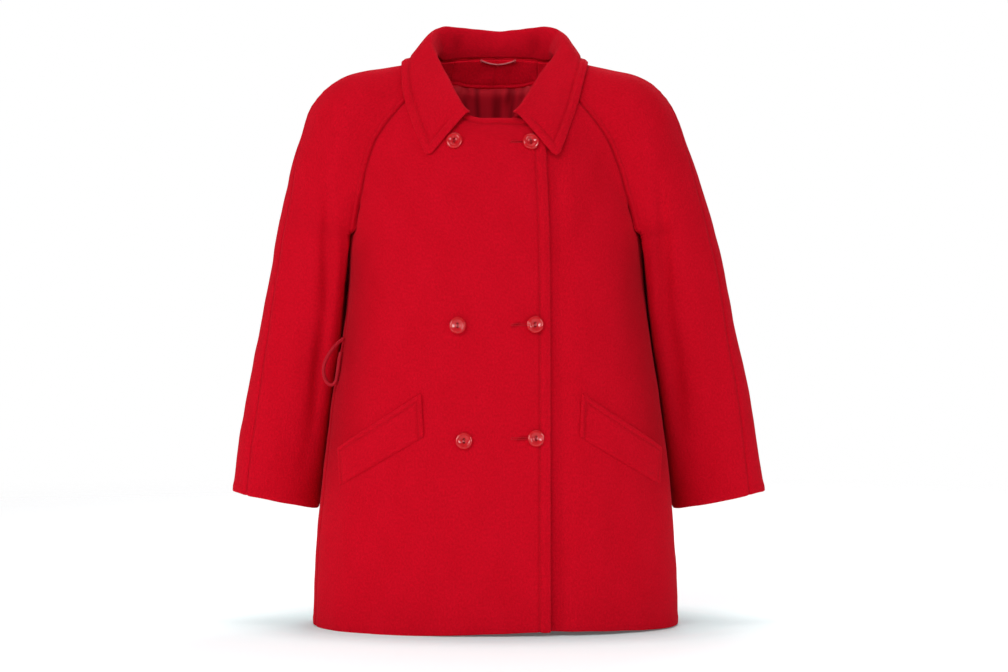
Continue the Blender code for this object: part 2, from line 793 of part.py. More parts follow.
def row_frames(side):
    """For each row of a sleeve: its middle, and its ends on the three seams."""
    under = underarm_point(side) * np.array([float(side), 1.0, 1.0])
    nearest = nearest_on_sleeve(under[:1], under[2:])[0]
    under_station = float(LINE["station"][nearest])
    frames = []
    stations = np.linspace(CUFF_STATION, under_station, TUBE_ROWS + 1)[:-1]
    middles = [middle_line(station) for station in stations]
    centres = np.array([middle[0] for middle in middles])
    ways = np.array([overarm_way(station, middle[1]) for station, middle in zip(stations, middles)])
    overs = cast(arm, centres, ways, reach=150.0, steps=40)
    seams = cast(arm, centres, -np.array([middle[1] for middle in middles]), reach=150.0, steps=40)
    frames += list(zip(centres, seams, overs, seams))
    stations = np.linspace(under_station, NECK_STATION, 60)
    middles = [middle_line(station) for station in stations]
    centres = np.array([middle[0] for middle in middles])
    ways = np.array([overarm_way(station, middle[1]) for station, middle in zip(stations, middles)])
    overs = cast(arm, centres, ways)
    rows = np.linspace(0, RAGLAN_ROWS.rows[-1, 0], CAP_ROWS + 1)
    fronts = mirrored(seam_points(-1, side), side)
    backs = mirrored(seam_points(1, side), side)
    overs = even(overs, RAGLAN_ROWS.at(rows, "overarm_share"))
    centres = even(centres, RAGLAN_ROWS.at(rows, "middle_share"))
    frames += list(zip(centres, fronts, overs, backs))
    return frames


def sleeve_grid(frames, facing, columns):
    """Rows of a sleeve piece, each from the body's seam round to the overarm seam."""
    centres = np.array([frame[0] for frame in frames])
    firsts = np.array([frame[1 if facing < 0 else 3] for frame in frames])
    lasts = np.array([frame[2] for frame in frames])
    start = firsts - centres
    end = lasts - centres
    start = (start / np.linalg.norm(start, axis=1, keepdims=True))[:, None]
    end = (end / np.linalg.norm(end, axis=1, keepdims=True))[:, None]
    bulge = 0.5 * (1 - np.sum(start * end, axis=2, keepdims=True))
    shares = np.linspace(0, 1, columns * 3)[None, :, None]
    ways = (1 - shares) * start + shares * end
    ways = ways + bulge * 4 * shares * (1 - shares) * np.array([0.0, float(facing), 0.0])
    line = cast_grid(arm, centres, ways)
    line[:, 0] = firsts
    line[:, -1] = lasts
    spaced = np.array([even(row, np.linspace(0, 1, columns)) for row in line])
    grid = cast_grid(arm, centres, spaced - centres[:, None])
    grid[:, 0] = firsts
    grid[:, -1] = lasts
    return grid


def cast_grid(field, centres, ways):
    starts = np.repeat(centres[:, None], ways.shape[1], axis=1)
    found = cast(field, starts.reshape(-1, 3), ways.reshape(-1, 3), reach=150.0, steps=40)
    return found.reshape(ways.shape)


def build_sleeves():
    """The four sleeve pieces. Returns their neck edges and their inner grids."""
    edges = {}
    inners = {}
    for side in (-1, 1):
        frames = row_frames(side)
        for facing in (-1, 1):
            rows = sleeve_grid(frames, facing, SLEEVE_COLUMNS)
            outer = hold_back(rows, ["high", "start", "end"])
            out_way = normals_of(arm, outer, 6.0)
            seam_way = normals_of(arm, outer[:, :1] + SEAM_TURN * (outer[:, 1:2] - outer[:, :1]), 3.0)
            plain_way = normals_of(arm, outer[:, :1])
            plain = ease((outer[:, :1, 2:] - 540) / 30)
            out_way[TUBE_ROWS:, :1] = (plain * plain_way + (1 - plain) * seam_way)[TUBE_ROWS:]
            name = ("sleeve_front_" if facing < 0 else "sleeve_back_") + SIDE_NAMES[side]
            inner = mirrored(outer - out_way * wall_at(outer), side)
            wall(name, mirrored(outer, side), inner)
            edges[(side, facing)] = rows[-1]
            inners[(side, facing)] = inner
    return edges, inners


def neckline(edges, panels):
    """The neck edge from the collar's front end round to the middle of the back."""
    front = mirrored(panels[(-1, -1)][-1], -1)[: FRONT_NECK_COLUMNS + 1]
    front = even(front, np.linspace(0, 1, 120))
    front = front[front[:, 0] >= COLLAR_END]
    back = mirrored(panels[(-1, 1)][-1], -1)[: BACK_NECK_COLUMNS + 1][::-1]
    over_front = edges[(-1, -1)]
    over_back = edges[(-1, 1)][::-1]
    return np.concatenate([front[:-1], over_front, over_back[1:], back[1:]])


def clearance(points):
    """Near distance to the coat's outside, and the way out of it."""
    step = 0.5
    parts = []
    for axis in range(3):
        shift = np.zeros(3)
        shift[axis] = step
        parts.append((arm(points + shift) - arm(points - shift)) / (2 * step))
    gradient = np.stack(parts, axis=1)
    size = np.maximum(np.linalg.norm(gradient, axis=1), 0.2)
    return arm(points) / size, gradient / size[:, None]


def hermite(start, start_way, end, end_way, share):
    square = share * share
    cube = square * share
    return (
        (2 * cube - 3 * square + 1) * start
        + (cube - 2 * square + share) * start_way
        + (3 * square - 2 * cube) * end
        + (cube - square) * end_way
    )


def build_collar(neck_line):
    """The stand rises from the neckline, rolls over the fold and falls to the outer edge."""
    half = COLLAR_COLUMNS
    shares = np.linspace(0, 1, half)
    neck = even(neck_line, shares)
    _, out_way = clearance(neck)
    along = np.gradient(neck, axis=0)
    along[-1] = (-1.0, 0.0, 0.0)
    along /= np.linalg.norm(along, axis=1, keepdims=True)
    up = np.cross(out_way, along)
    up /= np.linalg.norm(up, axis=1, keepdims=True)
    up *= np.sign(up[:, 2:])
    base = neck - out_way * WALL / 2 + up * COLLAR_RISE
    fold = np.stack([COLLAR.at(shares, name) for name in ("fold_x", "fold_y", "fold_height")], axis=1)
    edge = np.stack([COLLAR.at(shares, name) for name in ("edge_x", "edge_y", "edge_height")], axis=1)
    rest = COLLAR_WALL / 2 + COLLAR_LIFT
    for _ in range(4):
        for _ in range(4):
            far, way = clearance(edge)
            edge = edge - way * (far - rest)[:, None]
        edge[1:-1] = (edge[:-2] + 2 * edge[1:-1] + edge[2:]) / 4
    outward = edge - fold
    outward[:, 2] = 0.0
    outward[-1] = (0.0, 1.0, 0.0)
    outward /= np.linalg.norm(outward, axis=1, keepdims=True)
    rise = np.linalg.norm(fold - base, axis=1, keepdims=True)
    drop = np.linalg.norm(edge - fold, axis=1, keepdims=True)
    roll = np.clip(rise * 0.5, 5.0, 14.0)
    columns = []
    for share in np.linspace(0, 1, STAND_ROWS + 1)[:-1]:
        columns.append(hermite(base, up * rise, fold, outward * roll, share))
    for share in np.linspace(0, 1, FALL_ROWS + 1) ** 1.25:
        points = hermite(fold, outward * roll * 2.2, edge, (edge - fold) * 0.9, share)
        for _ in range(6):
            far, way = clearance(points)
            points = points + way * np.maximum(rest - far, 0.0)[:, None]
        columns.append(points)
    grid = np.array(columns).transpose(1, 0, 2)
    full = np.concatenate([mirrored(grid, -1), grid[::-1][1:]])
    run = np.gradient(full, axis=0)
    climb = np.gradient(full, axis=1)
    way = np.cross(run, climb)
    way /= np.linalg.norm(way, axis=2, keepdims=True)
    wall("collar", full + way * COLLAR_WALL / 2, full - way * COLLAR_WALL / 2)


def facing_bands(path):
    """Columns down the inside of the coat from its neckline, all round the back."""
    run = length_along(path)
    shoulder = int(np.argmin(np.abs(path[:, 1] - FACING_END_DEPTH)))
    places = np.linspace(run[shoulder], run[-1], FACING_COLUMNS)
    top = np.stack([np.interp(places, run, path[:, axis]) for axis in range(3)], axis=1)
    along = np.gradient(top, axis=0)
    along[-1] = (-1.0, 0.0, 0.0)
    along /= np.linalg.norm(along, axis=1, keepdims=True)
    depth = FACING_DEPTH.at(top[:, 0], "depth")
    rows = [top]
    point = top
    for _ in range(FACING_ROWS):
        for _ in range(3):
            down = np.cross(clearance(point)[1], along)
            down *= -np.sign(down[:, 2:])
            down /= np.linalg.norm(down, axis=1, keepdims=True)
            point = point + down * (depth / FACING_ROWS / 3)[:, None]
            far, way = clearance(point)
            point = point - way * far[:, None]
        rows.append(point)
    grid = np.array(rows)
    return np.concatenate([grid * np.array([-1.0, 1.0, 1.0]), grid[:, ::-1][:, 1:]], axis=1)


def build_facing(neck_line, inside):
    """The neck facing, inside the coat's facets. Returns its lower edge on the form."""
    grid = facing_bands(neck_line)
    out_way = normals_of(arm, grid)
    outer = grid - out_way * (depth_to(inside, grid, out_way) + FACING_GAP)[..., None]
    outer[0] += (outer[1] - outer[0]) * 0.06
    inner = outer - out_way * FACING_WALL
    columns = grid.shape[1]
    middle = columns // 2
    split = int(np.argmin(np.abs(grid[0, middle:, 0] - FACING_SEAM)))
    pieces = (
        ("neck_facing", middle - split, middle + split),
        ("side_facing_right", 0, middle - split),
        ("side_facing_left", middle + split, columns - 1),
    )
    for name, first, last in pieces:
        part = slice(first, last + 1)
        edges_in = [edge for edge, here in (("start", first > 0), ("end", last < columns - 1)) if here]
        wall(name, hold_back(outer[:, part], edges_in), hold_back(inner[:, part], edges_in))
    return grid[-1]


def build_lining(lower_edge, inside):
    """The lining inside the back, from the facing's lower edge to just above the hem."""
    halves = []
    for side in (-1, 1):
        seam = raglan(RAGLAN_BACK, 1, side)
        seam = seam[seam[:, 2] < LINING_SHOULDER]
        seam_flat = np.stack([patch_along(seam, 1), seam[:, 2]], axis=1)
        seam_flat[:, 0] -= side * LINING_INSET
        edge = lower_edge[lower_edge[:, 0] * side > 0]
        edge = edge[np.abs(edge[:, 0]) < FACING_SEAM]
        edge = edge[np.argsort(-np.abs(edge[:, 0]))]
        edge_flat = np.stack([edge[:, 0], edge[:, 2] - LINING_DROP], axis=1)
        middle = np.array([[0.0, edge_flat[-1, 1]]])
        top = np.concatenate([seam_flat, edge_flat, middle])[::-1]
        heights = np.linspace(LINING_HEM, UNDERARM_HEIGHT, 20)
        depth = SIDE_SEAM.at(heights, "right_depth" if side < 0 else "left_depth")
        starts = np.stack([np.zeros(20), depth, heights], axis=1)
        seam_side = cast(trunk, starts, np.tile((float(side), 0.0, 0.0), (20, 1)))
        side_line = np.stack([patch_along(seam_side, 1) - side * LINING_INSET, heights], axis=1)
        side_line[-1] = top[-1]
        centre = np.stack([np.zeros(20), np.linspace(LINING_HEM, top[0, 1], 20)], axis=1)
        low = np.linspace(centre[0], side_line[0], LINING_COLUMNS)
        shares = np.linspace(0, 1, LINING_ROWS)
        high = even(top, np.linspace(0, 1, LINING_COLUMNS))
        halves.append(relaxed(coons(low, high, even(centre, shares), even(side_line, shares))))
    flat = np.concatenate([halves[0][:, ::-1], halves[1][:, 1:]], axis=1)
    grid = patch_point(flat[..., 0].ravel(), flat[..., 1].ravel(), 1).reshape(flat.shape[:2] + (3,))
    out_way = normals_of(trunk, grid)
    outer = grid - out_way * (depth_to(inside, grid, out_way) + LINING_GAP)[..., None]
    wall("lining_back", outer, outer - out_way * LINING_WALL, "satin")


def build_welts(panels):
    """The pocket welts, laid on the facets of the front panels."""
    trees = {side: faceted([panels[(side, -1)]]) for side in (-1, 1)}
    for side, inner_x, inner_top, inner_low, outer_x, outer_top, outer_low in WELTS.rows:
        over = np.linspace(0, 1, 11)[:, None]
        down = np.linspace(0, 1, 5)[None]
        across = inner_x + (outer_x - inner_x) * over + WELT_LEAN * down
        top = inner_top + (outer_top - inner_top) * over
        low = inner_low + (outer_low - inner_low) * over
        height = top + (low - top) * down
        sway = BODY.at(height, "sway")
        points = on_panel(trees[int(side)], (side * across - sway).ravel(), height.ravel())
        out_way = slope(trunk, points)
        shape = across.shape + (3,)
        base = (points + out_way * WELT_GAP).reshape(shape)
        face = (points + out_way * (WELT_GAP + WELT_WALL)).reshape(shape)
        wall("pocket_welt_" + SIDE_NAMES[int(side)], face, base)


def button_solid(name, centre, out_way):
    """A domed button with a raised rim, a hollow middle and two holes one above the other."""
    radius = BUTTON_DIAMETER / 2
    profile = [(radius * share, BUTTON_THICKNESS * rise) for share, rise in BUTTON_PROFILE.rows]
    up = np.array([0.0, 0.0, 1.0])
    up = up - out_way * np.dot(up, out_way)
    up /= np.linalg.norm(up)
    side_way = np.cross(up, out_way)

    def place(across, rise, height):
        return centre + side_way * across + up * rise + out_way * height

    vertices = [place(0, 0, 0)]
    for reach, height in profile[1:-1]:
        for turn in range(BUTTON_SIDES):
            angle = 2 * math.pi * turn / BUTTON_SIDES
            vertices.append(place(reach * math.sin(angle), reach * math.cos(angle), height))
    vertices.append(place(0, 0, profile[-1][1]))
    faces = []
    rings = len(profile) - 2
    for turn in range(BUTTON_SIDES):
        after = (turn + 1) % BUTTON_SIDES
        faces.append((0, 1 + after, 1 + turn))
        for ring in range(rings - 1):
            base = 1 + ring * BUTTON_SIDES
            faces.append((base + turn, base + after, base + BUTTON_SIDES + after, base + BUTTON_SIDES + turn))
        base = 1 + (rings - 1) * BUTTON_SIDES
        faces.append((base + turn, base + after, len(vertices) - 1))
    button = finish(name, leaning(np.array(vertices)), faces, "button_plastic")
    for index, rise in enumerate((-BUTTON_HOLE_SPREAD / 2, BUTTON_HOLE_SPREAD / 2)):
        ends = np.array([place(0, rise, height) for height in (-2.0, 1.0, 4.0, 8.0)])
        cutter = tube(f"{name}_hole_{index}", ends, BUTTON_HOLE / 2, "button_plastic", sides=8)
        cutter.hide_render = True
        cutter.display_type = "WIRE"
        cut = button.modifiers.new(f"hole_{index}", "BOOLEAN")
        cut.operation = "DIFFERENCE"
        cut.solver = "EXACT"
        cut.object = cutter


def build_buttons(panels):
    """The buttons, each resting on the facets of the upper front."""
    tree = faceted([panels[(-1, -1)]])
    turns = np.linspace(0, 2 * math.pi, 13)[:-1]
    ring = np.stack([np.cos(turns), np.sin(turns)], axis=1)
    spots = np.concatenate([ring, ring / 2, [(0.0, 0.0)]]) * BUTTON_DIAMETER / 2
    for column, row, across, height in BUTTONS.rows:
        place = straight_across(across, height)
        under = on_panel(tree, place + spots[:, 0], height + spots[:, 1])
        middle = under.mean(axis=0)
        out_way = np.linalg.svd(under - middle)[2][2]
        out_way *= -np.sign(out_way[1])
        lift = np.max((under - middle) @ out_way) + BUTTON_GAP
        name = "button_" + ("right", "left")[int(column)] + "_" + ("top", "middle", "low")[int(row)]
        button_solid(name, middle + out_way * lift, out_way)


def pushed_clear(points, reach):
    for _ in range(12):
        near, way = clearance(points)
        body_near = body_distance(points)
        body_way = slope(trunk, points)
        points = points + way * np.maximum(reach - near, 0.0)[:, None]
        points = points + body_way * np.maximum(reach - body_near, 0.0)[:, None]
    return points


def seated(points, tree, reach):
    """Brings points to this distance from the nearest facet."""
    moved = []
    for point in points:
        near = np.array(tree.find_nearest(tuple(map(float, point)))[0])
        way = (point - near) / np.linalg.norm(point - near)
        moved.append(near + way * reach)
    return np.array(moved)


def build_belt_loop(panels):
    """A cord loop sewn into the right side seam, standing out in front of the sleeve."""
    tree = faceted([panels[(-1, -1)]])
    path = np.stack([-BELT_LOOP.column("across"), BELT_LOOP.column("depth"), BELT_LOOP.column("height")], axis=1)
    centres = even(path, np.linspace(0, 1, 31))
    centres = pushed_clear(centres, BELT_LOOP_RADIUS + BELT_LOOP_CLEAR)
    for _ in range(2):
        centres[1:-1] = (centres[:-2] + 2 * centres[1:-1] + centres[2:]) / 4
        centres = pushed_clear(centres, BELT_LOOP_RADIUS + BELT_LOOP_CLEAR)
    for end in ([0, 1], [-2, -1]):
        centres[end] = seated(centres[end], tree, BELT_LOOP_RADIUS + BELT_LOOP_SEAT)
    tube("belt_loop", centres, BELT_LOOP_RADIUS, "cord")


def build_hanger_loop():
    """A thin cord across the inside of the back neck, hanging a little between its ends."""
    across = np.linspace(-HANGER_HALF, HANGER_HALF, 15)
    height = HANGER_HEIGHT - HANGER_SAG * (1 - (across / HANGER_HALF) ** 2)
    points = on_trunk(across + HANGER_MIDDLE, height, 1)
    out_way = slope(trunk, points)
    inset = WALL + FACING_GAP + FACING_WALL + HANGER_LOOP_RADIUS + 0.7
    tube("hanger_loop", points - out_way * inset, HANGER_LOOP_RADIUS, "cord", sides=6)


panels, panel_insides = build_body()
sleeve_edges, sleeve_insides = build_sleeves()
neck = neckline(sleeve_edges, panels)
inside = faceted(list(panel_insides.values()) + list(sleeve_insides.values()))
build_collar(neck)
facing_edge = build_facing(neck, inside)
build_lining(facing_edge, faceted([panel_insides[(-1, 1)], panel_insides[(1, 1)]]))
build_welts(panels)
build_buttons(panels)
build_belt_loop(panels)
build_hanger_loop()
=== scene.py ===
# %% [markdown]
# # A pea coat in red wool
# The coat is double-breasted, with raglan sleeves, a turned-down collar, two slanting
# welt pockets and six buttons. It hangs filled out with nobody in it. The imported solids
# already have its true size and main shape. Each wool panel here is a thin shell on the
# same smooth form, far finer than the solid, with its creases placed one by one.

# %% Load the imported coat
import math

import bpy
import numpy as np
from mathutils.bvhtree import BVHTree
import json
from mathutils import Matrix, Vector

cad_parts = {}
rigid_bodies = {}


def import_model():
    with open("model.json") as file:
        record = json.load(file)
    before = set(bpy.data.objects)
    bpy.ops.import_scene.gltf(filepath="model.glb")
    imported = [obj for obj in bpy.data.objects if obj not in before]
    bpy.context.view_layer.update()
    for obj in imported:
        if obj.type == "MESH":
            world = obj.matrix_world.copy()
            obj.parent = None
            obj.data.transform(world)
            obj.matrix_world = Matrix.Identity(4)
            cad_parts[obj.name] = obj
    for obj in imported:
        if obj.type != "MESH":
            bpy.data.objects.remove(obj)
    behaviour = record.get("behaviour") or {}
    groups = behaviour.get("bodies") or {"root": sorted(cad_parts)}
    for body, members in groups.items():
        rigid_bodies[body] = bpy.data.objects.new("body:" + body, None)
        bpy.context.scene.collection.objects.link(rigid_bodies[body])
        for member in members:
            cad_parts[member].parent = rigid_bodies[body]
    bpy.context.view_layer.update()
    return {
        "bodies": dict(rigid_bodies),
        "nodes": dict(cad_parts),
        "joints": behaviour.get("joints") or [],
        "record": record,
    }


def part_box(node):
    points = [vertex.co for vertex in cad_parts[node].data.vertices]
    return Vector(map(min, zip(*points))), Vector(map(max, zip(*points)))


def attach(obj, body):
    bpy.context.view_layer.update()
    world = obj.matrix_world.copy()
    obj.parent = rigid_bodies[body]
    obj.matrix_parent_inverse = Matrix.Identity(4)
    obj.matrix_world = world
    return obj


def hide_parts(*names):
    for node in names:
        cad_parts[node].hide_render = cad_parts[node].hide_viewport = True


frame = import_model()

# %% [markdown]
# ## The camera
# The photograph was taken level, from about three metres in front of the coat and half a
# metre below its shoulders. A short telephoto lens keeps the sleeves from looking larger
# than the body. The camera comes first, so that every piece can be judged in its frame.

# %% Set the camera
CAMERA_PLACE = (0.0104, -3.0, -0.33)
CAMERA_LENS = 82.43

camera_data = bpy.data.cameras.new("photo_camera")
camera_data.lens = CAMERA_LENS
camera_data.sensor_width = 36.0
camera = bpy.data.objects.new("photo_camera", camera_data)
camera.location = CAMERA_PLACE
camera.rotation_euler = (math.pi / 2, 0.0, 0.0)
bpy.context.scene.collection.objects.link(camera)
bpy.context.scene.camera = camera
print("camera at", CAMERA_PLACE, "lens", CAMERA_LENS)

# %% [markdown]
# ## Tables instead of loose numbers
# A tailor's pattern is a set of measures, so the coat's shape is kept the same way: rows
# of sizes in millimetres under named columns. A table is read between its rows with a
# curve that never overshoots, because a bump between two measures would show as a dent.

# %% A table that can be read anywhere
class Table:
    """Rows under named columns, read between the rows with a smooth monotone curve."""

    def __init__(self, columns, rows):
        self.columns = columns.split()
        self.rows = np.array(rows, float)

    def column(self, name):
        return self.rows[:, self.columns.index(name)]

    def at(self, where, name, key=None):
        keys = self.column(key or self.columns[0])
        values = self.column(name)
        order = np.argsort(keys)
        return smooth_between(np.asarray(where, float), keys[order], values[order])


def smooth_between(where, keys, values):
    steps = np.diff(keys)
    slopes = np.diff(values) / steps
    tangents = np.zeros(len(keys))
    same = slopes[:-1] * slopes[1:] > 0
    before = 2 * steps[1:] + steps[:-1]
    after = steps[1:] + 2 * steps[:-1]
    with np.errstate(divide="ignore", invalid="ignore"):
        middle = (before + after) / (before / slopes[:-1] + after / slopes[1:])
    tangents[1:-1] = np.where(same, middle, 0.0)
    tangents[0] = slopes[0]
    tangents[-1] = slopes[-1]
    clipped = np.clip(where, keys[0], keys[-1])
    index = np.clip(np.searchsorted(keys, clipped) - 1, 0, len(steps) - 1)
    width = steps[index]
    part = (clipped - keys[index]) / width
    square = part * part
    cube = square * part
    start = (2 * cube - 3 * square + 1) * values[index]
    start_turn = (cube - 2 * square + part) * width * tangents[index]
    end = (3 * square - 2 * cube) * values[index + 1]
    end_turn = (cube - square) * width * tangents[index + 1]
    return start + start_turn + end + end_turn


def ease(value):
    value = np.clip(value, 0.0, 1.0)
    return value * value * (3 - 2 * value)

# %% [markdown]
# ## The body, the sleeves and the seam lines
# The body is a stack of level ovals, and a sleeve is a bent tube of its own ovals. Heights
# are above the hem. The raglan seams and the neckline are drawn as a front view shows
# them, and are carried onto the form later.

# %% Measures of the body and the sleeves
BODY = Table(
    "height half_width front back sway sleeve_sway",
    (
        (-20, 238, 153, 136, -0.5, 0),
        (0, 237, 152, 135, -0.5, 0),
        (100, 232, 150, 132, -0.5, 3),
        (200, 223, 145, 128, -0.3, 3),
        (300, 210, 138, 122, 0.0, 3),
        (370, 199, 132, 118, 0.3, 2),
        (443, 192, 127, 115, 0.0, 2),
        (505, 189.5, 122, 113, -1.0, 1),
        (560, 181, 115, 110, -3.0, 1),
        (600, 170, 107, 107, -4.5, 0),
        (645, 150, 91, 101, -5.0, 0),
        (680, 130, 66, 94, -5.0, 0),
        (700, 116, 45, 87, -4.0, 0),
        (720, 96, 22, 79, -2.0, 0),
        (738, 76, -2, 69, 0.0, 0),
        (756, 62, -16, 60, 0.5, 0),
        (800, 50, -24, 48, 1.0, 0),
    ),
)

# The middle line of a sleeve with its radii, from the neck over the shoulder to the cuff.
SLEEVE = Table(
    "station across height level_radius depth_radius depth_centre",
    (
        (0, 46, 666, 58, 40, 8),
        (1, 80, 663, 66, 47, 7),
        (2, 118, 652, 69, 57, 5),
        (3, 159, 643, 68, 64, 3),
        (3.6, 181, 627, 69.5, 66, 3),
        (4.2, 190, 595, 70, 66, 3),
        (5, 195, 560, 73, 63, 4),
        (6, 209, 505, 73.5, 59, 6),
        (7, 225, 443, 71.5, 56, 13),
        (8, 243.5, 370, 68, 53, 21),
        (9, 265, 283, 65.7, 49, 27),
        (10, 290, 158, 60, 43, 30),
        (11, 296, 128, 59, 41, 30),
    ),
)
SLEEVE_STEPS = 111
CUFF_STATION = 10.1

# %% [markdown]
# The seams are lines on that form, each point a height and a place across. A sewing room
# cuts flat pieces first. Here the finished coat is known, so they are drawn where it shows.

# %% Measures of the seams and the neckline
UNDERARM_HEIGHT = 490.0
LAP_EDGE = 67.0

SIDE_SEAM = Table(
    "height right_depth left_depth",
    ((-20, -50, 20), (100, -47, 20), (365, -35, 18), (440, -20, 12), (490, 4, 4), (520, 4, 4)),
)

# Raglan seams from the underarm to the neck, and the neckline on from there to the middle.
RAGLAN_FRONT = Table(
    "across height",
    ((181, 500), (174, 530), (161, 586), (149, 618), (134, 642), (114, 666), (94, 690), (75, 712)),
)
RAGLAN_BACK = Table(
    "across height",
    (
        (169, 502), (167, 530), (161, 570), (152, 610), (139, 645),
        (121, 676), (104, 702), (88, 720), (72, 733),
    ),
)
NECK_FRONT = Table(
    "across height",
    ((75, 712), (67, 699), (57, 682), (46, 663), (38, 652), (31, 646), (0, 644)),
)
NECK_BACK = Table("across height", ((72, 733), (58, 736), (40, 738), (20, 739), (0, 739)))

# How far the hem stands above its lowest level.
HEM = Table(
    "across right_rise left_rise",
    (
        (-265, 1, 1),
        (-200, 0, 0),
        (-135, -1, 0),
        (-60, 1, 3),
        (0, 3, 5),
        (67, 5, 6),
        (140, 4, 4),
        (200, 1, 1),
        (265, 1, 1),
    ),
)

# Row positions of a raglan sleeve above the underarm: share of the raglan seam and overarm seam.
RAGLAN_ROWS = Table(
    "row raglan_share overarm_share middle_share",
    (
        (0, 0, 0, 0), (1, 0.06, 0.03, 0.006), (2, 0.125, 0.07, 0.028), (3, 0.19, 0.115, 0.06),
        (5, 0.31, 0.23, 0.19), (9, 0.58, 0.52, 0.5), (14, 1, 1, 1),
    ),
)

# The overarm seam's turn towards the front, in degrees, by sleeve station.
OVERARM = Table("station turn", ((0, 0), (2, 2), (3, 10), (4, 20), (5, 24), (7, 26), (9, 36), (11, 46)))

# %% Measures of the long folds, the collar, the welts and the buttons
FOLDS = Table(
    "side across_a height_a across_b height_b width depth",
    (
        (-1, 213, 560, 218, 420, 7, 5.0),
        (-1, 218, 420, 238, 260, 8, 4.5),
        (-1, 238, 260, 250, 190, 9, 2.0),
        (-1, 199, 500, 203, 400, 5, -2.5),
        (-1, 262, 470, 290, 300, 12, 1.6),
        (1, 209, 560, 216, 420, 8, 5.0),
        (1, 216, 420, 240, 250, 9, 4.0),
        (1, 240, 520, 262, 360, 11, 2.2),
        (1, 150, 560, 120, 400, 13, 2.5),
        (1, 70, 200, 78, -20, 16, 3.0),
        (1, 165, 260, 176, -20, 15, 3.0),
        (-1, 150, 190, 162, -20, 16, 1.6),
    ),
)

# The collar from its front end round to the middle of the back: the fold line and outer edge.
COLLAR = Table(
    "share fold_x fold_y fold_height edge_x edge_y edge_height",
    (
        (0.00, 31, -95, 652, 86, -118, 599),
        (0.15, 44, -78, 671, 99, -104, 630),
        (0.32, 58, -48, 699, 108, -84, 662),
        (0.47, 75, -14, 729, 115, -50, 693),
        (0.60, 86, 12, 754, 121, 4, 724),
        (0.70, 83, 37, 769, 117, 48, 727),
        (0.84, 61, 60, 778.5, 83, 87, 715),
        (1.00, 0, 75, 774.5, 0, 103, 703),
    ),
)

WELTS = Table(
    "side inner_x inner_top inner_low outer_x outer_top outer_low",
    ((-1, 93, 297, 244, 200, 228, 181), (1, 108, 297, 244, 211, 228, 181)),
)

BUTTONS = Table(
    "column row across height",
    (
        (0, 0, -51.5, 614), (0, 1, -47, 383), (0, 2, -39, 240),
        (1, 0, 44, 613.5), (1, 1, 49, 384), (1, 2, 50, 243),
    ),
)

# The belt loop's route from the right side seam, out in front of the sleeve, and back.
BELT_LOOP = Table(
    "across height depth",
    (
        (193.5, 366.8, -40), (198.5, 364.5, -43), (206, 357.7, -46), (214, 346.9, -48), (219.5, 336.7, -48),
        (221.5, 326.4, -48), (219.5, 316.1, -48), (215, 308, -48), (209.5, 306, -48), (205, 309, -48),
        (202.3, 316, -48), (201, 327, -47), (199, 338, -45), (197, 349, -42),
    ),
)

FACING_DEPTH = Table("across depth", ((0, 41), (30, 40), (57, 33), (75, 30), (100, 30)))

# %% [markdown]
# ## One smooth form for all the cloth
# Cloth panels meet exactly when they all lie on one surface. That surface is written as a
# distance: below zero inside, above zero outside. The body and the sleeve are two such
# distances, and a soft join melts them into a raglan shoulder. The long folds are pressed
# into the same form, so they run on across every seam.

# %% The middle line of the sleeve
SLEEVE_STEPS = 111
BODY_ROUNDNESS = 2.25

def sleeve_line():
    stations = np.linspace(0, 11, SLEEVE_STEPS)
    line = {"station": stations}
    for name in SLEEVE.columns[1:]:
        line[name] = SLEEVE.at(stations, name)
    for name in ("across", "height"):
        soft = np.convolve(np.pad(line[name], 4, mode="reflect", reflect_type="odd"), np.ones(9) / 9, "valid")
        line[name] = soft
    across_step = np.gradient(line["across"])
    height_step = np.gradient(line["height"])
    length = np.hypot(across_step, height_step)
    line["along_across"] = across_step / length
    line["along_height"] = height_step / length
    for name in ("level_radius", "depth_radius", "depth_centre"):
        line[name + "_slope"] = np.gradient(line[name]) / length
    return line


LINE = sleeve_line()

# %% [markdown]
# The form is a function that gives the distance to its surface, below zero inside. A
# sculpted mesh could serve, but a function can be asked anywhere and slopes straight out.

# %% Distance to the body and to a sleeve
def body_distance(points):
    height = points[:, 2]
    half_width = BODY.at(height, "half_width")
    front = BODY.at(height, "front")
    back = BODY.at(height, "back")
    centre = (back - front) / 2
    half_depth = (back + front) / 2
    across = np.abs(points[:, 0])
    depth = np.abs(points[:, 1] - centre)
    ratio = (across / half_width) ** BODY_ROUNDNESS + (depth / half_depth) ** BODY_ROUNDNESS
    ratio = np.maximum(ratio, 1e-9) ** (1 / BODY_ROUNDNESS)
    return np.maximum(np.hypot(across, depth), 1.0) * (1 - 1 / np.maximum(ratio, 0.02))


def nearest_on_sleeve(across, height):
    gaps = (across[:, None] - LINE["across"]) ** 2 + (height[:, None] - LINE["height"]) ** 2
    return np.argmin(gaps, axis=1)


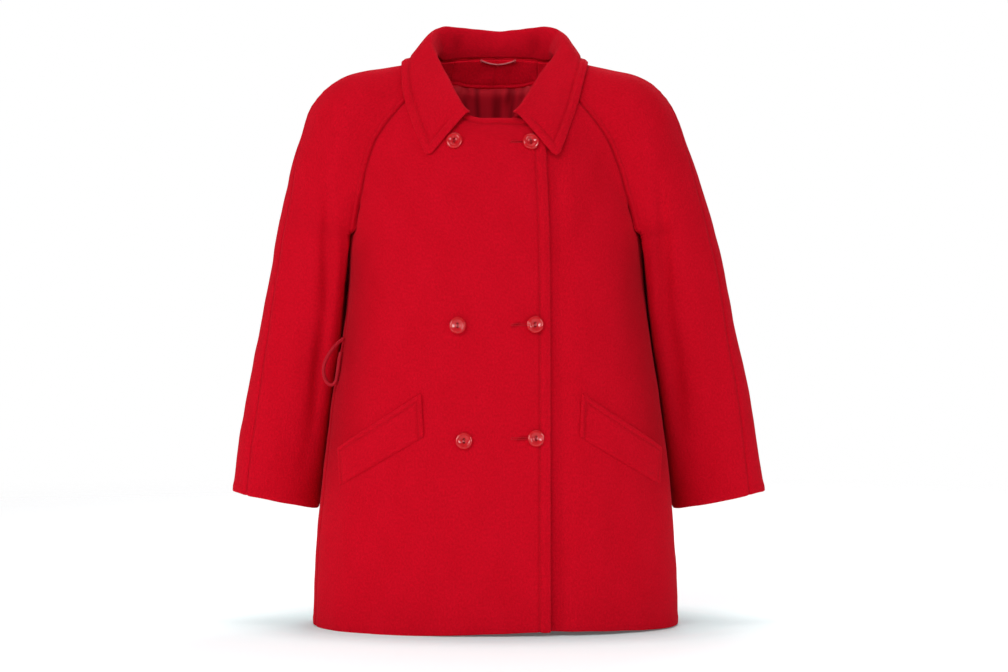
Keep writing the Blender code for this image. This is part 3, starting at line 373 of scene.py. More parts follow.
def sleeve_distance(points):
    across = np.abs(points[:, 0])
    height = points[:, 2]
    index = nearest_on_sleeve(across, height)
    out_x = across - LINE["across"][index]
    out_z = height - LINE["height"][index]
    along = out_x * LINE["along_across"][index] + out_z * LINE["along_height"][index]
    sideways = out_x * LINE["along_height"][index] - out_z * LINE["along_across"][index]
    end = (index == 0) | (index == SLEEVE_STEPS - 1)
    beyond = np.where(end, np.abs(along), 0.0)
    along = np.where(end, 0.0, along)
    level_radius = LINE["level_radius"][index] + along * LINE["level_radius_slope"][index]
    depth_radius = LINE["depth_radius"][index] + along * LINE["depth_radius_slope"][index]
    depth_centre = LINE["depth_centre"][index] + along * LINE["depth_centre_slope"][index]
    depth = points[:, 1] - depth_centre
    level = np.hypot(sideways, beyond)
    ratio = np.maximum(np.hypot(level / level_radius, depth / depth_radius), 0.02)
    return np.maximum(np.hypot(level, depth), 1.0) * (1 - 1 / ratio)

# %% Join the two and press the folds in
def join(first, second, softness):
    overlap = np.maximum(softness - np.abs(first - second), 0.0) / softness
    return np.minimum(first, second) - overlap * overlap * softness / 4


def softness_at(height):
    return 1.0 + 31.0 * ease((height - 505) / 90)


def fold_depth(points):
    across = np.abs(points[:, 0])
    height = points[:, 2]
    total = np.zeros(len(points))
    for side, x_a, z_a, x_b, z_b, width, depth in FOLDS.rows:
        run_x = x_b - x_a
        run_z = z_b - z_a
        part = ((across - x_a) * run_x + (height - z_a) * run_z) / (run_x**2 + run_z**2)
        gap = np.hypot(across - x_a - part * run_x, height - z_a - part * run_z)
        fade = ease((part + 0.25) / 0.5) * ease((1.25 - part) / 0.5)
        facing = ease(side * (points[:, 1] - 6) / 30)
        total += depth * fade * facing * np.exp(-((gap / width) ** 2))
    return total


def trunk(points):
    """Distance to the body, with the shoulders but not the hanging part of the sleeves."""
    lift = 60 * (1 - ease((points[:, 2] - 500) / 45))
    both = join(body_distance(points), sleeve_distance(points) + lift, softness_at(points[:, 2]))
    return both + fold_depth(points)


# %% The sleeve, held clear of the body under the arm
SLEEVE_CLEAR = 2.3
HIDDEN_RISE = 11.0
HIDDEN_MIDDLE = 4.0
HIDDEN_REACH = 44.0


def seam_ceiling(depth):
    """The height of the raglan seam where it runs hidden between the sleeve and the body."""
    share = np.clip(np.abs(depth - HIDDEN_MIDDLE) / HIDDEN_REACH, 0.0, 1.0)
    return UNDERARM_HEIGHT + HIDDEN_RISE * share**1.3


def arm(points):
    """Distance to the sleeve's outside, held clear of the body below the underarm."""
    body = body_distance(points)
    both = join(body, sleeve_distance(points), softness_at(points[:, 2]))
    above = points[:, 2] - seam_ceiling(points[:, 1])
    clear = SLEEVE_CLEAR - 200 * ease((above - 0.5) / 6)
    return -join(-both, body - clear, 6.0) + fold_depth(points)

# %% [markdown]
# ## Finding points on the form
# A ray from inside the coat is marched until the distance turns positive. The body
# panels use a flat coordinate that runs round the body, so that a panel can be laid out
# flat like a paper pattern and then wrapped on.

# %% March rays to the form
PATCH_HALF = 110.0
PATCH_TURN = 90.0


def cast(field, starts, directions, reach=420.0, steps=70):
    """Where each ray first leaves the field's inside."""
    directions = directions / np.linalg.norm(directions, axis=1, keepdims=True)
    low = np.zeros(len(starts))
    high = np.full(len(starts), reach)
    found = np.zeros(len(starts), bool)
    for step in range(1, steps + 1):
        far = np.full(len(starts), reach * step / steps)
        waiting = ~found
        outside = field(starts[waiting] + directions[waiting] * far[waiting, None]) > 0
        hits = np.flatnonzero(waiting)[outside]
        high[hits] = far[hits]
        low[hits] = reach * (step - 1) / steps
        found[hits] = True
        if found.all():
            break
    for _ in range(14):
        middle = (low + high) / 2
        outside = field(starts + directions * middle[:, None]) > 0
        high = np.where(outside, middle, high)
        low = np.where(outside, low, middle)
    return starts + directions * ((low + high) / 2)[:, None]


def on_trunk(across, heights, side):
    """Points of the trunk at these places, met by a ray running straight forward or back."""
    across = np.asarray(across, float)
    heights = np.asarray(heights, float)
    starts = np.stack([across, np.full(across.shape, 10.0), heights], axis=1)
    directions = np.tile((0.0, float(side), 0.0), (len(across), 1))
    return cast(trunk, starts, directions)


def patch_point(along, heights, side):
    """Points of the trunk by distance along a level section, counted from the middle."""
    turn = np.sign(along) * np.maximum(np.abs(along) - PATCH_HALF, 0.0) / PATCH_TURN
    starts = np.stack([np.clip(along, -PATCH_HALF, PATCH_HALF), np.full(along.shape, 0.0), heights], axis=1)
    directions = np.stack([np.sin(turn), side * np.cos(turn), np.zeros(along.shape)], axis=1)
    return cast(trunk, starts, directions)


def patch_along(points, side):
    across = np.abs(points[:, 0])
    turn = np.arctan2(across - PATCH_HALF, np.maximum(side * points[:, 1], -1e9))
    beyond = PATCH_HALF + PATCH_TURN * turn
    return np.sign(points[:, 0]) * np.where(across > PATCH_HALF, beyond, across)


def length_along(line):
    steps = np.linalg.norm(np.diff(line, axis=0), axis=1)
    return np.concatenate([[0.0], np.cumsum(steps)])


def even(line, shares):
    """Points at these shares of a line's length."""
    run = length_along(line)
    where = np.asarray(shares) * run[-1]
    return np.stack([np.interp(where, run, line[:, axis]) for axis in range(line.shape[1])], axis=1)

# %% [markdown]
# A raglan seam joins sleeve and body from the underarm to the neck. Both sides take the
# same points, so that no gap opens between them.

# %% Raglan seams as the body and the sleeve share them
CAP_ROWS = 14


def underarm_point(side):
    """The top of a side seam, on the wearer's right (-1) or left (1)."""
    name = "right_depth" if side < 0 else "left_depth"
    depth = float(SIDE_SEAM.at(UNDERARM_HEIGHT, name))
    start = np.array([[0.0, depth, UNDERARM_HEIGHT]])
    return cast(trunk, start, np.array([[float(side), 0.0, 0.0]]))[0]


def raglan(table, facing, side):
    """A raglan seam from the underarm to the neck, on the wearer's right or left."""
    under = underarm_point(side)
    visible = np.stack([table.column("across"), table.column("height")], axis=1)
    places = even(visible, np.linspace(0, 1, 40))
    seam = on_trunk(side * places[:, 0], places[:, 1], facing)
    first = patch_along(seam[:1], facing)[0]
    last = patch_along(under[None], facing)[0]
    shares = np.linspace(0, 1, 13)[:-1]
    along = last + (first - last) * shares
    heights = np.full(12, UNDERARM_HEIGHT)
    for _ in range(3):
        hidden = patch_point(along, heights, facing)
        heights = seam_ceiling(hidden[:, 1])
    return np.concatenate([hidden, seam])


def seam_points(facing, side):
    """The raglan seam's points that its body panel and its sleeve share."""
    rows = np.linspace(0, RAGLAN_ROWS.rows[-1, 0], CAP_ROWS + 1)
    table = RAGLAN_FRONT if facing < 0 else RAGLAN_BACK
    return even(raglan(table, facing, side), RAGLAN_ROWS.at(rows, "raglan_share"))

# %% [markdown]
# ## Panel patterns
# Each body panel is a grid between its four edges. The corner where the side seam meets
# the raglan seam folds a plain blend over itself, so the inner points are relaxed until
# all the cells are open. Twenty columns are enough here, because the fine grid comes next.

# %% Blend four edges and relax the grid
RELAX_STEPS = 90


def coons(low, high, start, end):
    """A grid between four lines: low and high run across, start and end run up."""
    rows = len(start)
    columns = len(low)
    down = np.linspace(0, 1, rows)[:, None, None]
    over = np.linspace(0, 1, columns)[None, :, None]
    between = (1 - down) * low[None] + down * high[None]
    between += (1 - over) * start[:, None] + over * end[:, None]
    corners = (1 - down) * ((1 - over) * low[0] + over * low[-1])
    corners += down * ((1 - over) * high[0] + over * high[-1])
    return between - corners


def relaxed(flat):
    """Spreads a flat grid's inner points so that no cell folds over another."""
    grid = flat.copy()
    for _ in range(RELAX_STEPS):
        over = (grid[1:-1, 2:] - grid[1:-1, :-2]) / 2
        down = (grid[2:, 1:-1] - grid[:-2, 1:-1]) / 2
        turn = (grid[2:, 2:] - grid[2:, :-2] - grid[:-2, 2:] + grid[:-2, :-2]) / 4
        long = np.sum(down * down, axis=2, keepdims=True)
        wide = np.sum(over * over, axis=2, keepdims=True)
        skew = np.sum(over * down, axis=2, keepdims=True)
        level = grid[1:-1, 2:] + grid[1:-1, :-2]
        upright = grid[2:, 1:-1] + grid[:-2, 1:-1]
        grid[1:-1, 1:-1] = (long * level + wide * upright - 2 * skew * turn) / (2 * (long + wide))
    return grid

# %% The pattern of a front or back panel
PANEL_ROWS = 19
FRONT_NECK_COLUMNS = 6
BACK_NECK_COLUMNS = 4


SIDE_NAMES = {-1: "right", 1: "left"}


def neck_edge(facing, side, reach):
    """The neckline from the raglan seam towards the middle, as along-and-height places."""
    table = NECK_FRONT if facing < 0 else NECK_BACK
    places = np.stack([side * table.column("across"), table.column("height")], axis=1)
    if reach:
        places = np.concatenate([places, [(-side * reach, table.column("height")[-1] - 1)]])
    count = FRONT_NECK_COLUMNS if facing < 0 else BACK_NECK_COLUMNS
    return even(places, np.linspace(0, 1, count + 1))[1:]


def body_panel(side, facing, reach=0.0):
    """A front or back panel: its outer points from the hem up and from the middle to the side."""
    seam = seam_points(facing, side)
    seam_flat = np.stack([patch_along(seam, facing), seam[:, 2]], axis=1)
    high = np.concatenate([seam_flat, neck_edge(facing, side, reach)])[::-1]
    columns = len(high)
    depth_name = "right_depth" if side < 0 else "left_depth"
    heights = np.linspace(0, UNDERARM_HEIGHT, 24)
    starts = np.stack([np.zeros(24), SIDE_SEAM.at(heights, depth_name), heights], axis=1)
    seam_side = cast(trunk, starts, np.tile((float(side), 0.0, 0.0), (24, 1)))
    side_line = np.stack([patch_along(seam_side, facing), heights], axis=1)
    edge_line = np.stack([np.full(24, -side * reach), np.linspace(0, high[0, 1], 24)], axis=1)
    low = np.linspace(edge_line[0], side_line[0], columns)
    low[:, 1] += HEM.at(low[:, 0], "right_rise" if side < 0 else "left_rise") if facing < 0 else 1.0
    edge_line[0] = low[0]
    side_line[0] = low[-1]
    shares = np.linspace(0, 1, PANEL_ROWS)
    flat = relaxed(coons(low, high, even(edge_line, shares), even(side_line, shares)))
    outer = patch_point(flat[..., 0].ravel(), flat[..., 1].ravel(), facing).reshape(flat.shape[:2] + (3,))
    outer[-1, -len(seam):] = seam[::-1]
    return outer

# %% [markdown]
# A raglan sleeve is a front and a back piece, with one seam over the arm and one under
# it. Its rows run round the arm, from the cuff to the neck.

# %% The pattern of a sleeve piece
CUFF_STATION = 10.1
TUBE_ROWS = 11
SLEEVE_COLUMNS = 9
NECK_STATION = 0.8


def middle_line(station):
    """A sleeve's middle point and the level direction out of its middle line."""
    index = float(np.clip(station / 11 * (SLEEVE_STEPS - 1), 0, SLEEVE_STEPS - 1))
    steps = np.arange(SLEEVE_STEPS)
    read = {name: float(np.interp(index, steps, values)) for name, values in LINE.items()}
    centre = np.array([read["across"], read["depth_centre"], read["height"]])
    outward = np.array([-read["along_height"], 0.0, read["along_across"]])
    return centre, outward / np.linalg.norm(outward)


def overarm_way(station, outward):
    turn = math.radians(float(OVERARM.at(station, "turn")))
    return math.cos(turn) * outward + math.sin(turn) * np.array([0.0, -1.0, 0.0])


def mirrored(points, side):
    return points * np.array([float(side), 1.0, 1.0])


def row_frames(side):
    """For each row of a sleeve: its middle, and its ends on the three seams."""
    under = underarm_point(side) * np.array([float(side), 1.0, 1.0])
    nearest = nearest_on_sleeve(under[:1], under[2:])[0]
    under_station = float(LINE["station"][nearest])
    frames = []
    stations = np.linspace(CUFF_STATION, under_station, TUBE_ROWS + 1)[:-1]
    middles = [middle_line(station) for station in stations]
    centres = np.array([middle[0] for middle in middles])
    ways = np.array([overarm_way(station, middle[1]) for station, middle in zip(stations, middles)])
    overs = cast(arm, centres, ways, reach=150.0, steps=40)
    seams = cast(arm, centres, -np.array([middle[1] for middle in middles]), reach=150.0, steps=40)
    frames += list(zip(centres, seams, overs, seams))
    stations = np.linspace(under_station, NECK_STATION, 60)
    middles = [middle_line(station) for station in stations]
    centres = np.array([middle[0] for middle in middles])
    ways = np.array([overarm_way(station, middle[1]) for station, middle in zip(stations, middles)])
    overs = cast(arm, centres, ways)
    rows = np.linspace(0, RAGLAN_ROWS.rows[-1, 0], CAP_ROWS + 1)
    fronts = mirrored(seam_points(-1, side), side)
    backs = mirrored(seam_points(1, side), side)
    overs = even(overs, RAGLAN_ROWS.at(rows, "overarm_share"))
    centres = even(centres, RAGLAN_ROWS.at(rows, "middle_share"))
    frames += list(zip(centres, fronts, overs, backs))
    return frames


def sleeve_grid(frames, facing, columns):
    """Rows of a sleeve piece, each from the body's seam round to the overarm seam."""
    centres = np.array([frame[0] for frame in frames])
    firsts = np.array([frame[1 if facing < 0 else 3] for frame in frames])
    lasts = np.array([frame[2] for frame in frames])
    start = firsts - centres
    end = lasts - centres
    start = (start / np.linalg.norm(start, axis=1, keepdims=True))[:, None]
    end = (end / np.linalg.norm(end, axis=1, keepdims=True))[:, None]
    bulge = 0.5 * (1 - np.sum(start * end, axis=2, keepdims=True))
    shares = np.linspace(0, 1, columns * 3)[None, :, None]
    ways = (1 - shares) * start + shares * end
    ways = ways + bulge * 4 * shares * (1 - shares) * np.array([0.0, float(facing), 0.0])
    line = cast_grid(arm, centres, ways)
    line[:, 0] = firsts
    line[:, -1] = lasts
    spaced = np.array([even(row, np.linspace(0, 1, columns)) for row in line])
    grid = cast_grid(arm, centres, spaced - centres[:, None])
    grid[:, 0] = firsts
    grid[:, -1] = lasts
    return grid


def cast_grid(field, centres, ways):
    starts = np.repeat(centres[:, None], ways.shape[1], axis=1)
    found = cast(field, starts.reshape(-1, 3), ways.reshape(-1, 3), reach=150.0, steps=40)
    return found.reshape(ways.shape)

# %% Trace the patterns
panels = {}
sleeves = {}
for side in (-1, 1):
    frames_here = row_frames(side)
    for facing in (-1, 1):
        panels[(side, facing)] = body_panel(side, facing, LAP_EDGE if facing < 0 else 0.0)
        sleeves[(side, facing)] = sleeve_grid(frames_here, facing, SLEEVE_COLUMNS)
print("patterns:", len(panels), "body panels and", len(sleeves), "sleeve pieces")

# %% [markdown]
# ## From pattern to fine cloth
# A crease or a stitched edge needs a point every few millimetres, and an edge one every
# millimetre. A subdivision surface would shrink the seams away from each other. A spline
# through the pattern's points keeps them together, and the new points are then pulled
# back onto the form.

# %% Read a pattern between its points
CLOTH_STEP = 4.2
EDGE_STEP = 1.15
EDGE_REACH = 14.0


def spline(values, places):
    """Reads lines of points at places between them, along a smooth curve through them."""
    before = 2 * values[0] - values[1]
    after = 2 * values[-1] - values[-2]
    padded = np.concatenate([before[None], values, after[None]])
    index = np.clip(np.floor(places).astype(int), 0, len(values) - 2)
    part = (places - index).reshape((-1,) + (1,) * (values.ndim - 1))
    a, b, c, d = (padded[index + step] for step in range(4))
    return b + 0.5 * part * (c - a + part * (2 * a - 5 * b + 4 * c - d + part * (3 * (b - c) + d - a)))


def finer(grid, row_places, column_places):
    tall = spline(grid, row_places)
    return spline(tall.swapaxes(0, 1), column_places).swapaxes(0, 1)


def close_set(line, first, last, step=CLOTH_STEP):
    """Places along a line of points, closer together near the ends that are named."""
    run = length_along(line)
    where = [0.0]
    while where[-1] < run[-1]:
        near = min(where[-1] if first else 1e3, run[-1] - where[-1] if last else 1e3)
        where.append(where[-1] + EDGE_STEP + (step - EDGE_STEP) * float(ease((near - EDGE_REACH) / 12)))
    where = np.array(where) * run[-1] / where[-1]
    return np.interp(where, run, np.arange(len(line)))


# %% [markdown]
# Between the pattern's points the cloth follows the form. Each new point is moved along
# the slope of the distance until it lies on the surface.

# %% Pull points onto the form
def slope(field, points, step=0.4):
    parts = []
    for axis in range(3):
        shift = np.zeros(3)
        shift[axis] = step
        parts.append((field(points + shift) - field(points - shift)) / (2 * step))
    return np.stack(parts, axis=1)


def way_out(field, grid, step=0.4):
    ways = slope(field, grid.reshape(-1, 3), step)
    return (ways / np.maximum(np.linalg.norm(ways, axis=1, keepdims=True), 1e-9)).reshape(grid.shape)


def onto(field, grid, steps=4):
    points = grid.reshape(-1, 3).copy()
    for _ in range(steps):
        ways = slope(field, points)
        size = np.maximum(np.sum(ways * ways, axis=1), 0.04)
        points -= ways * np.clip(field(points) / size, -3, 3)[:, None]
    return points.reshape(grid.shape)


def clearance(points):
    """Near distance to the coat's outside, and the way out of it."""
    ways = slope(arm, points, 0.5)
    size = np.maximum(np.linalg.norm(ways, axis=1), 0.2)
    return arm(points) / size, ways / size[:, None]


# %% The coat's lean, and its origin at the shoulders
SHOULDER_HEIGHT = 700.0
MM = 0.001


def leaning(points):
    """The coat's lean to one side, its sleeves' own lean, and its origin at the shoulders."""
    moved = points.copy()
    heights = points[..., 2].ravel()
    across = np.abs(points[..., 0].ravel())
    sleeve_part = ease((across - BODY.at(heights, "half_width") - 4) / 50)
    shift = BODY.at(heights, "sway") + sleeve_part * BODY.at(heights, "sleeve_sway")
    moved[..., 0] += shift.reshape(moved.shape[:-1])
    moved[..., 2] -= SHOULDER_HEIGHT
    return moved * MM


def gap_to(points, line):
    """How far each point is from a line of points."""
    nearest = np.full(points.shape[:-1], 1e9)
    for start, end in zip(line[:-1], line[1:]):
        run = end - start
        part = np.clip((points - start) @ run / max(float(run @ run), 1e-9), 0, 1)
        nearest = np.minimum(nearest, np.linalg.norm(points - start - part[..., None] * run, axis=-1))
    return nearest


def beside(grid, edge, inset, reach=60):
    """The line that runs this far inside one edge of a grid."""
    across = grid.swapaxes(0, 1)
    inward = {"low": grid, "high": grid[::-1], "start": across, "end": across[::-1]}[edge][:reach]
    lines = inward.swapaxes(0, 1)
    return np.array(
        [[np.interp(inset, length_along(line), line[:, axis]) for axis in range(3)] for line in lines]
    )

# %% [markdown]
# ## Creases
# Thick felted wool doesn't wrinkle. It makes a few long soft troughs where it hangs from
# the shoulder and the underarm, and short dimples where seams pull. Cloth simulation would
# make many even folds, so every crease is placed one by one: a line on the front or the back,
# its width, and its depth, which is below zero for a ridge.

# %% The table of creases
CREASES = Table(
    "facing across_a height_a across_b height_b bow width depth",
    (
        (-1, -196, 490, -168, 300, 10, 11, 2.2),
        (-1, -176, 470, -150, 350, -6, 9, -1.2),
        (-1, 187, 492, 158, 330, -9, 12, 2.4),
        (-1, 160, 470, 140, 380, 5, 8, -1.0),
        (-1, -120, 560, -92, 470, 8, 12, 1.1),
        (-1, 118, 566, 84, 452, -9, 14, 1.3),
        (-1, -146, 170, -156, -10, 6, 15, 2.2),
        (-1, -98, 150, -104, -10, -4, 13, -1.5),
        (-1, 30, 190, 36, -10, 5, 14, 1.4),
        (-1, 118, 180, 126, -10, -5, 15, -1.7),
        (-1, 196, 240, 206, -10, 6, 12, 2.0),
        (-1, -206, 260, -214, -10, -5, 13, 1.6),
        (-1, -20, 420, -10, 300, 3, 16, 0.9),
        (-1, -216, 520, -219, 400, 2, 6, 2.6),
        (-1, -219, 400, -236, 250, 4, 6, 3.0),
        (-1, -205, 470, -212, 330, 2, 6, -1.8),
        (-1, -238, 250, -262, 180, -4, 7, 1.2),
        (-1, -268, 420, -284, 260, 6, 9, 1.3),
        (-1, -210, 640, -232, 520, 8, 11, 1.0),
        (-1, 212, 520, 217, 410, -2, 6, 2.4),
        (-1, 217, 410, 240, 240, -4, 7, 2.8),
        (-1, 252, 300, 272, 190, 5, 8, 1.1),
        (-1, 270, 450, 288, 280, -6, 10, 1.4),
        (-1, 208, 650, 230, 540, -8, 11, 1.0),
        (1, -60, 640, -150, 560, 12, 14, 1.6),
        (1, 66, 636, 156, 548, -10, 15, 1.5),
        (1, -186, 500, -150, 320, 9, 13, 2.3),
        (1, 184, 500, 146, 340, -10, 13, 2.1),
        (1, -96, 320, -110, -10, 8, 16, 2.2),
        (1, 88, 280, 104, -10, -7, 15, 2.0),
        (1, -34, 210, -40, -10, 5, 14, -1.5),
        (1, 40, 240, 44, -10, -5, 15, -1.4),
        (1, 158, 210, 170, -10, 5, 14, 1.7),
        (1, -166, 190, -180, -10, -5, 13, 1.8),
        (1, -232, 500, -262, 300, 7, 9, 1.8),
        (1, 236, 510, 266, 320, -7, 9, 1.7),
        (1, -270, 400, -286, 200, -5, 10, -1.1),
        (1, 272, 420, 288, 220, 5, 10, -1.2),
    ),
)

# How strongly the cloth rises and falls of itself, in millimetres, over hands and thumbs.
WIDE_ROLL = 0.55
SMALL_ROLL = 0.22


def unevenness(points, size, seed):
    """A smooth rise and fall from about -1 to 1, without any repeat that shows."""
    source = np.random.default_rng(seed)
    total = np.zeros(points.shape[:-1])
    for _ in range(9):
        way = source.normal(size=3)
        way /= np.linalg.norm(way)
        wave = size * source.uniform(0.7, 1.6)
        total += np.sin(points @ way * (2 * math.pi / wave) + source.uniform(0, 2 * math.pi))
    return total / 3.2


def crease_lift(points):
    """How far the creases move the cloth out at each point of the form."""
    total = np.zeros(points.shape[:-1])
    across = points[..., 0]
    height = points[..., 2]
    for facing, x_a, z_a, x_b, z_b, bow, width, depth in CREASES.rows:
        run_x = x_b - x_a
        run_z = z_b - z_a
        length = math.hypot(run_x, run_z)
        part = ((across - x_a) * run_x + (height - z_a) * run_z) / length**2
        aside = ((across - x_a) * run_z - (height - z_a) * run_x) / length
        aside = aside - bow * np.sin(math.pi * np.clip(part, 0, 1))
        fade = ease((part + 0.15) / 0.5) * ease((1.15 - part) / 0.5)
        here = ease(facing * (points[..., 1] - 6) / 30)
        total -= depth * fade * here * np.exp(-((aside / (width * (0.75 + 0.5 * fade))) ** 2))
    total += WIDE_ROLL * unevenness(points, 95, 4) + SMALL_ROLL * unevenness(points, 34, 9)
    return total


print("creases placed by hand:", len(CREASES.rows))

# %% [markdown]
# ## Seams and stitched edges
# Where two panels are sewn, both turn in and leave a soft groove. Along a topstitched
# edge the cloth is folded double, so it swells between the edge and the stitching, and
# the thread pulls a narrow channel that puckers a little. Both shapes are a function of
# the distance to the edge.

# %% The section of a seam and of a topstitched edge
def seam_section(gap, depth=1.25):
    return -depth * np.exp(-((gap / 1.9) ** 2)) - 0.35 * depth * np.exp(-((gap / 6.0) ** 2))


def stitched_section(gap, inset, points, swell=0.85, channel=1.0):
    pucker = 1 + 0.3 * unevenness(points, 11, 21)
    rise = swell * pucker * np.exp(-(((gap - 0.45 * inset) / (0.36 * inset)) ** 2))
    drop = channel * np.exp(-(((gap - inset) / 1.7) ** 2)) + 0.25 * np.exp(-(((gap - inset) / 5.0) ** 2))
    return rise - drop


# Painted shade in the channel that the stitching pulls into the cloth.
def channel_shade(gap, inset):
    return 0.42 * np.exp(-(((gap - inset) / 1.7) ** 2))


def turned_section(gap, depth=1.0):
    """An edge turned under, with no stitching that shows."""
    return depth * 0.5 * np.exp(-(((gap - 6) / 5) ** 2))


# %% [markdown]
# ## A shell of cloth
# Every panel is a closed shell: an outer face, an inner face, and a rim. A free edge, such
# as the hem, gets a round rim. An edge that is sewn stays flat, so that two panels meet
# without a slit. The face's own measures in metres become the UV map, which lets the
# weave run along the cloth. One point attribute paints shade into seams, grooves, folds and
# hollows, and another lightens rubbed edges.

# %% Close a shell between two grids
RIM_TURNS = (45.0, 90.0, 135.0)


def rim_of(rows, columns):
    places = [(0, column) for column in range(columns)]
    places += [(row, columns - 1) for row in range(1, rows)]
    places += [(rows - 1, column) for column in range(columns - 2, -1, -1)]
    places += [(row, 0) for row in range(rows - 2, 0, -1)]
    return np.array(places)


def cloth_measures(grid):
    """Each point's distance across and along the cloth, in metres."""
    across = np.linalg.norm(np.diff(grid, axis=1), axis=2)
    along = np.linalg.norm(np.diff(grid, axis=0), axis=2)
    across = np.concatenate([np.zeros((grid.shape[0], 1)), np.cumsum(across, axis=1)], axis=1)
    middle = across[:, across.shape[1] // 2][:, None]
    along = np.concatenate([np.zeros((1, grid.shape[1])), np.cumsum(along, axis=0)])
    return np.stack([across - middle, along], axis=2)


def solid_volume(points, faces):
    corners = points[faces]
    halves = np.concatenate([corners[:, [0, 1, 2]], corners[:, [0, 2, 3]]])
    return float(np.sum(halves[:, 0] * np.cross(halves[:, 1], halves[:, 2])) / 6)


def mesh_piece(name, points, faces, finish, measures=None, shade=None, wear=None):
    """A smooth object at the origin, with its finish, its UV map and its attributes."""
    mesh = bpy.data.meshes.new(name)
    mesh.from_pydata(points.tolist(), [], faces.tolist() if hasattr(faces, "tolist") else faces)
    mesh.polygons.foreach_set("use_smooth", np.ones(len(mesh.polygons), bool))
    if measures is not None:
        corners = np.zeros(len(mesh.loops), np.int32)
        mesh.loops.foreach_get("vertex_index", corners)
        mesh.uv_layers.new(name="cloth_measures").data.foreach_set("uv", measures[corners].ravel())
    # The first attribute is painted shade in seams, grooves, folds and hollows; the second lightens worn
    # edges.
    for label, values in (("painted_shade", shade), ("rubbed", wear)):
        values = np.zeros(len(points)) if values is None else values
        mesh.attributes.new(label, "FLOAT", "POINT").data.foreach_set("value", values.astype(np.float32))
    mesh.materials.append(finish)
    piece = bpy.data.objects.new(name, mesh)
    bpy.context.scene.collection.objects.link(piece)
    return piece


def cloth_shell(name, outer, inner, finish, rounded, shade=None, wear=None):
    """Closes two grids, in form millimetres, into a shell. rounded tells how round each edge is."""
    rows, columns = outer.shape[:2]
    face = leaning(outer)
    back = leaning(inner)
    number = np.arange(rows * columns).reshape(rows, columns)
    roundness = np.zeros((rows, columns))
    edges = {"low": np.s_[0, :], "high": np.s_[-1, :], "start": np.s_[:, 0], "end": np.s_[:, -1]}
    for edge, amount in rounded.items():
        roundness[edges[edge]] = np.maximum(roundness[edges[edge]], amount)
    rim = rim_of(rows, columns)
    inside_rows = np.clip(rim[:, 0], 1, rows - 2)
    inside_columns = np.clip(rim[:, 1], 1, columns - 2)
    top = face[rim[:, 0], rim[:, 1]]
    low = back[rim[:, 0], rim[:, 1]]
    way = top - face[inside_rows, inside_columns]
    way /= np.maximum(np.linalg.norm(way, axis=1, keepdims=True), 1e-9)
    middle = (top + low) / 2
    half = np.linalg.norm(top - low, axis=1, keepdims=True) / 2
    bulge = roundness[rim[:, 0], rim[:, 1]][:, None]
    rings = []
    for turn in RIM_TURNS:
        angle = math.radians(turn)
        rings.append(middle + (top - middle) * math.cos(angle) + way * half * math.sin(angle) * bulge)
    points = np.concatenate([face.reshape(-1, 3), back.reshape(-1, 3)] + rings)
    total = rows * columns
    corners = (number[:-1, :-1], number[:-1, 1:], number[1:, 1:], number[1:, :-1])
    a, b, c, d = (corner.ravel() for corner in corners)
    faces = [np.stack([a, b, c, d], axis=1), total + np.stack([d, c, b, a], axis=1)]
    first = number[rim[:, 0], rim[:, 1]]
    chain = [first] + [2 * total + ring * len(rim) + np.arange(len(rim)) for ring in range(len(rings))]
    chain.append(total + first)
    for here, there in zip(chain[:-1], chain[1:]):
        faces.append(np.stack([np.roll(here, -1), here, there, np.roll(there, -1)], axis=1))
    faces = np.concatenate(faces)
    if solid_volume(points, faces) < 0:
        faces = faces[:, ::-1]
    measures = cloth_measures(face)
    on_rim = measures[rim[:, 0], rim[:, 1]]
    measures = np.concatenate([measures.reshape(-1, 2)] * 2 + [on_rim] * len(rings))
    extras = []
    for values in (shade, wear):
        values = np.zeros((rows, columns)) if values is None else values
        edge_values = values[rim[:, 0], rim[:, 1]]
        extras.append(np.concatenate([values.ravel(), np.zeros(total)] + [edge_values] * len(rings)))
    piece = mesh_piece(name, points, faces, finish, measures, extras[0], extras[1])
    area = sum(polygon.area for polygon in piece.data.polygons) / 2
    print(f"{name}: {len(faces) * 2} triangles, {area:.4f} square metres of cloth")
    return piece


# %% [markdown]
# ## Writing finishes as sums
# A finish is a small formula, and a formula reads best as a formula. A wrapped socket can
# be added, multiplied and so on, and each sign makes one Math node. All other nodes come
# from one method that takes the node's type, its settings and its inputs.

# %% A socket that does arithmetic
class Wire:
    def __init__(self, look, socket):
        self.look = look
        self.socket = socket

    def _math(self, operation, first, second=None):
        node = self.look.tree.nodes.new("ShaderNodeMath")
        node.operation = operation
        for slot, value in zip(node.inputs, (first, second)):
            if value is not None:
                self.look.feed(slot, value)
        return Wire(self.look, node.outputs[0])

    def __add__(self, other):
        return self._math("ADD", self, other)

    def __radd__(self, other):
        return self._math("ADD", other, self)

    def __sub__(self, other):
        return self._math("SUBTRACT", self, other)

    def __rsub__(self, other):
        return self._math("SUBTRACT", other, self)

    def __mul__(self, other):
        return self._math("MULTIPLY", self, other)

    def __rmul__(self, other):
        return self._math("MULTIPLY", other, self)

    def __truediv__(self, other):
        return self._math("DIVIDE", self, other)

    def __rtruediv__(self, other):
        return self._math("DIVIDE", other, self)

    def __pow__(self, other):
        return self._math("POWER", self, other)

    def wave(self):
        return self._math("SINE", self)

    def clipped(self):
        return self._math("MAXIMUM", self._math("MINIMUM", self, 1.0), 0.0)


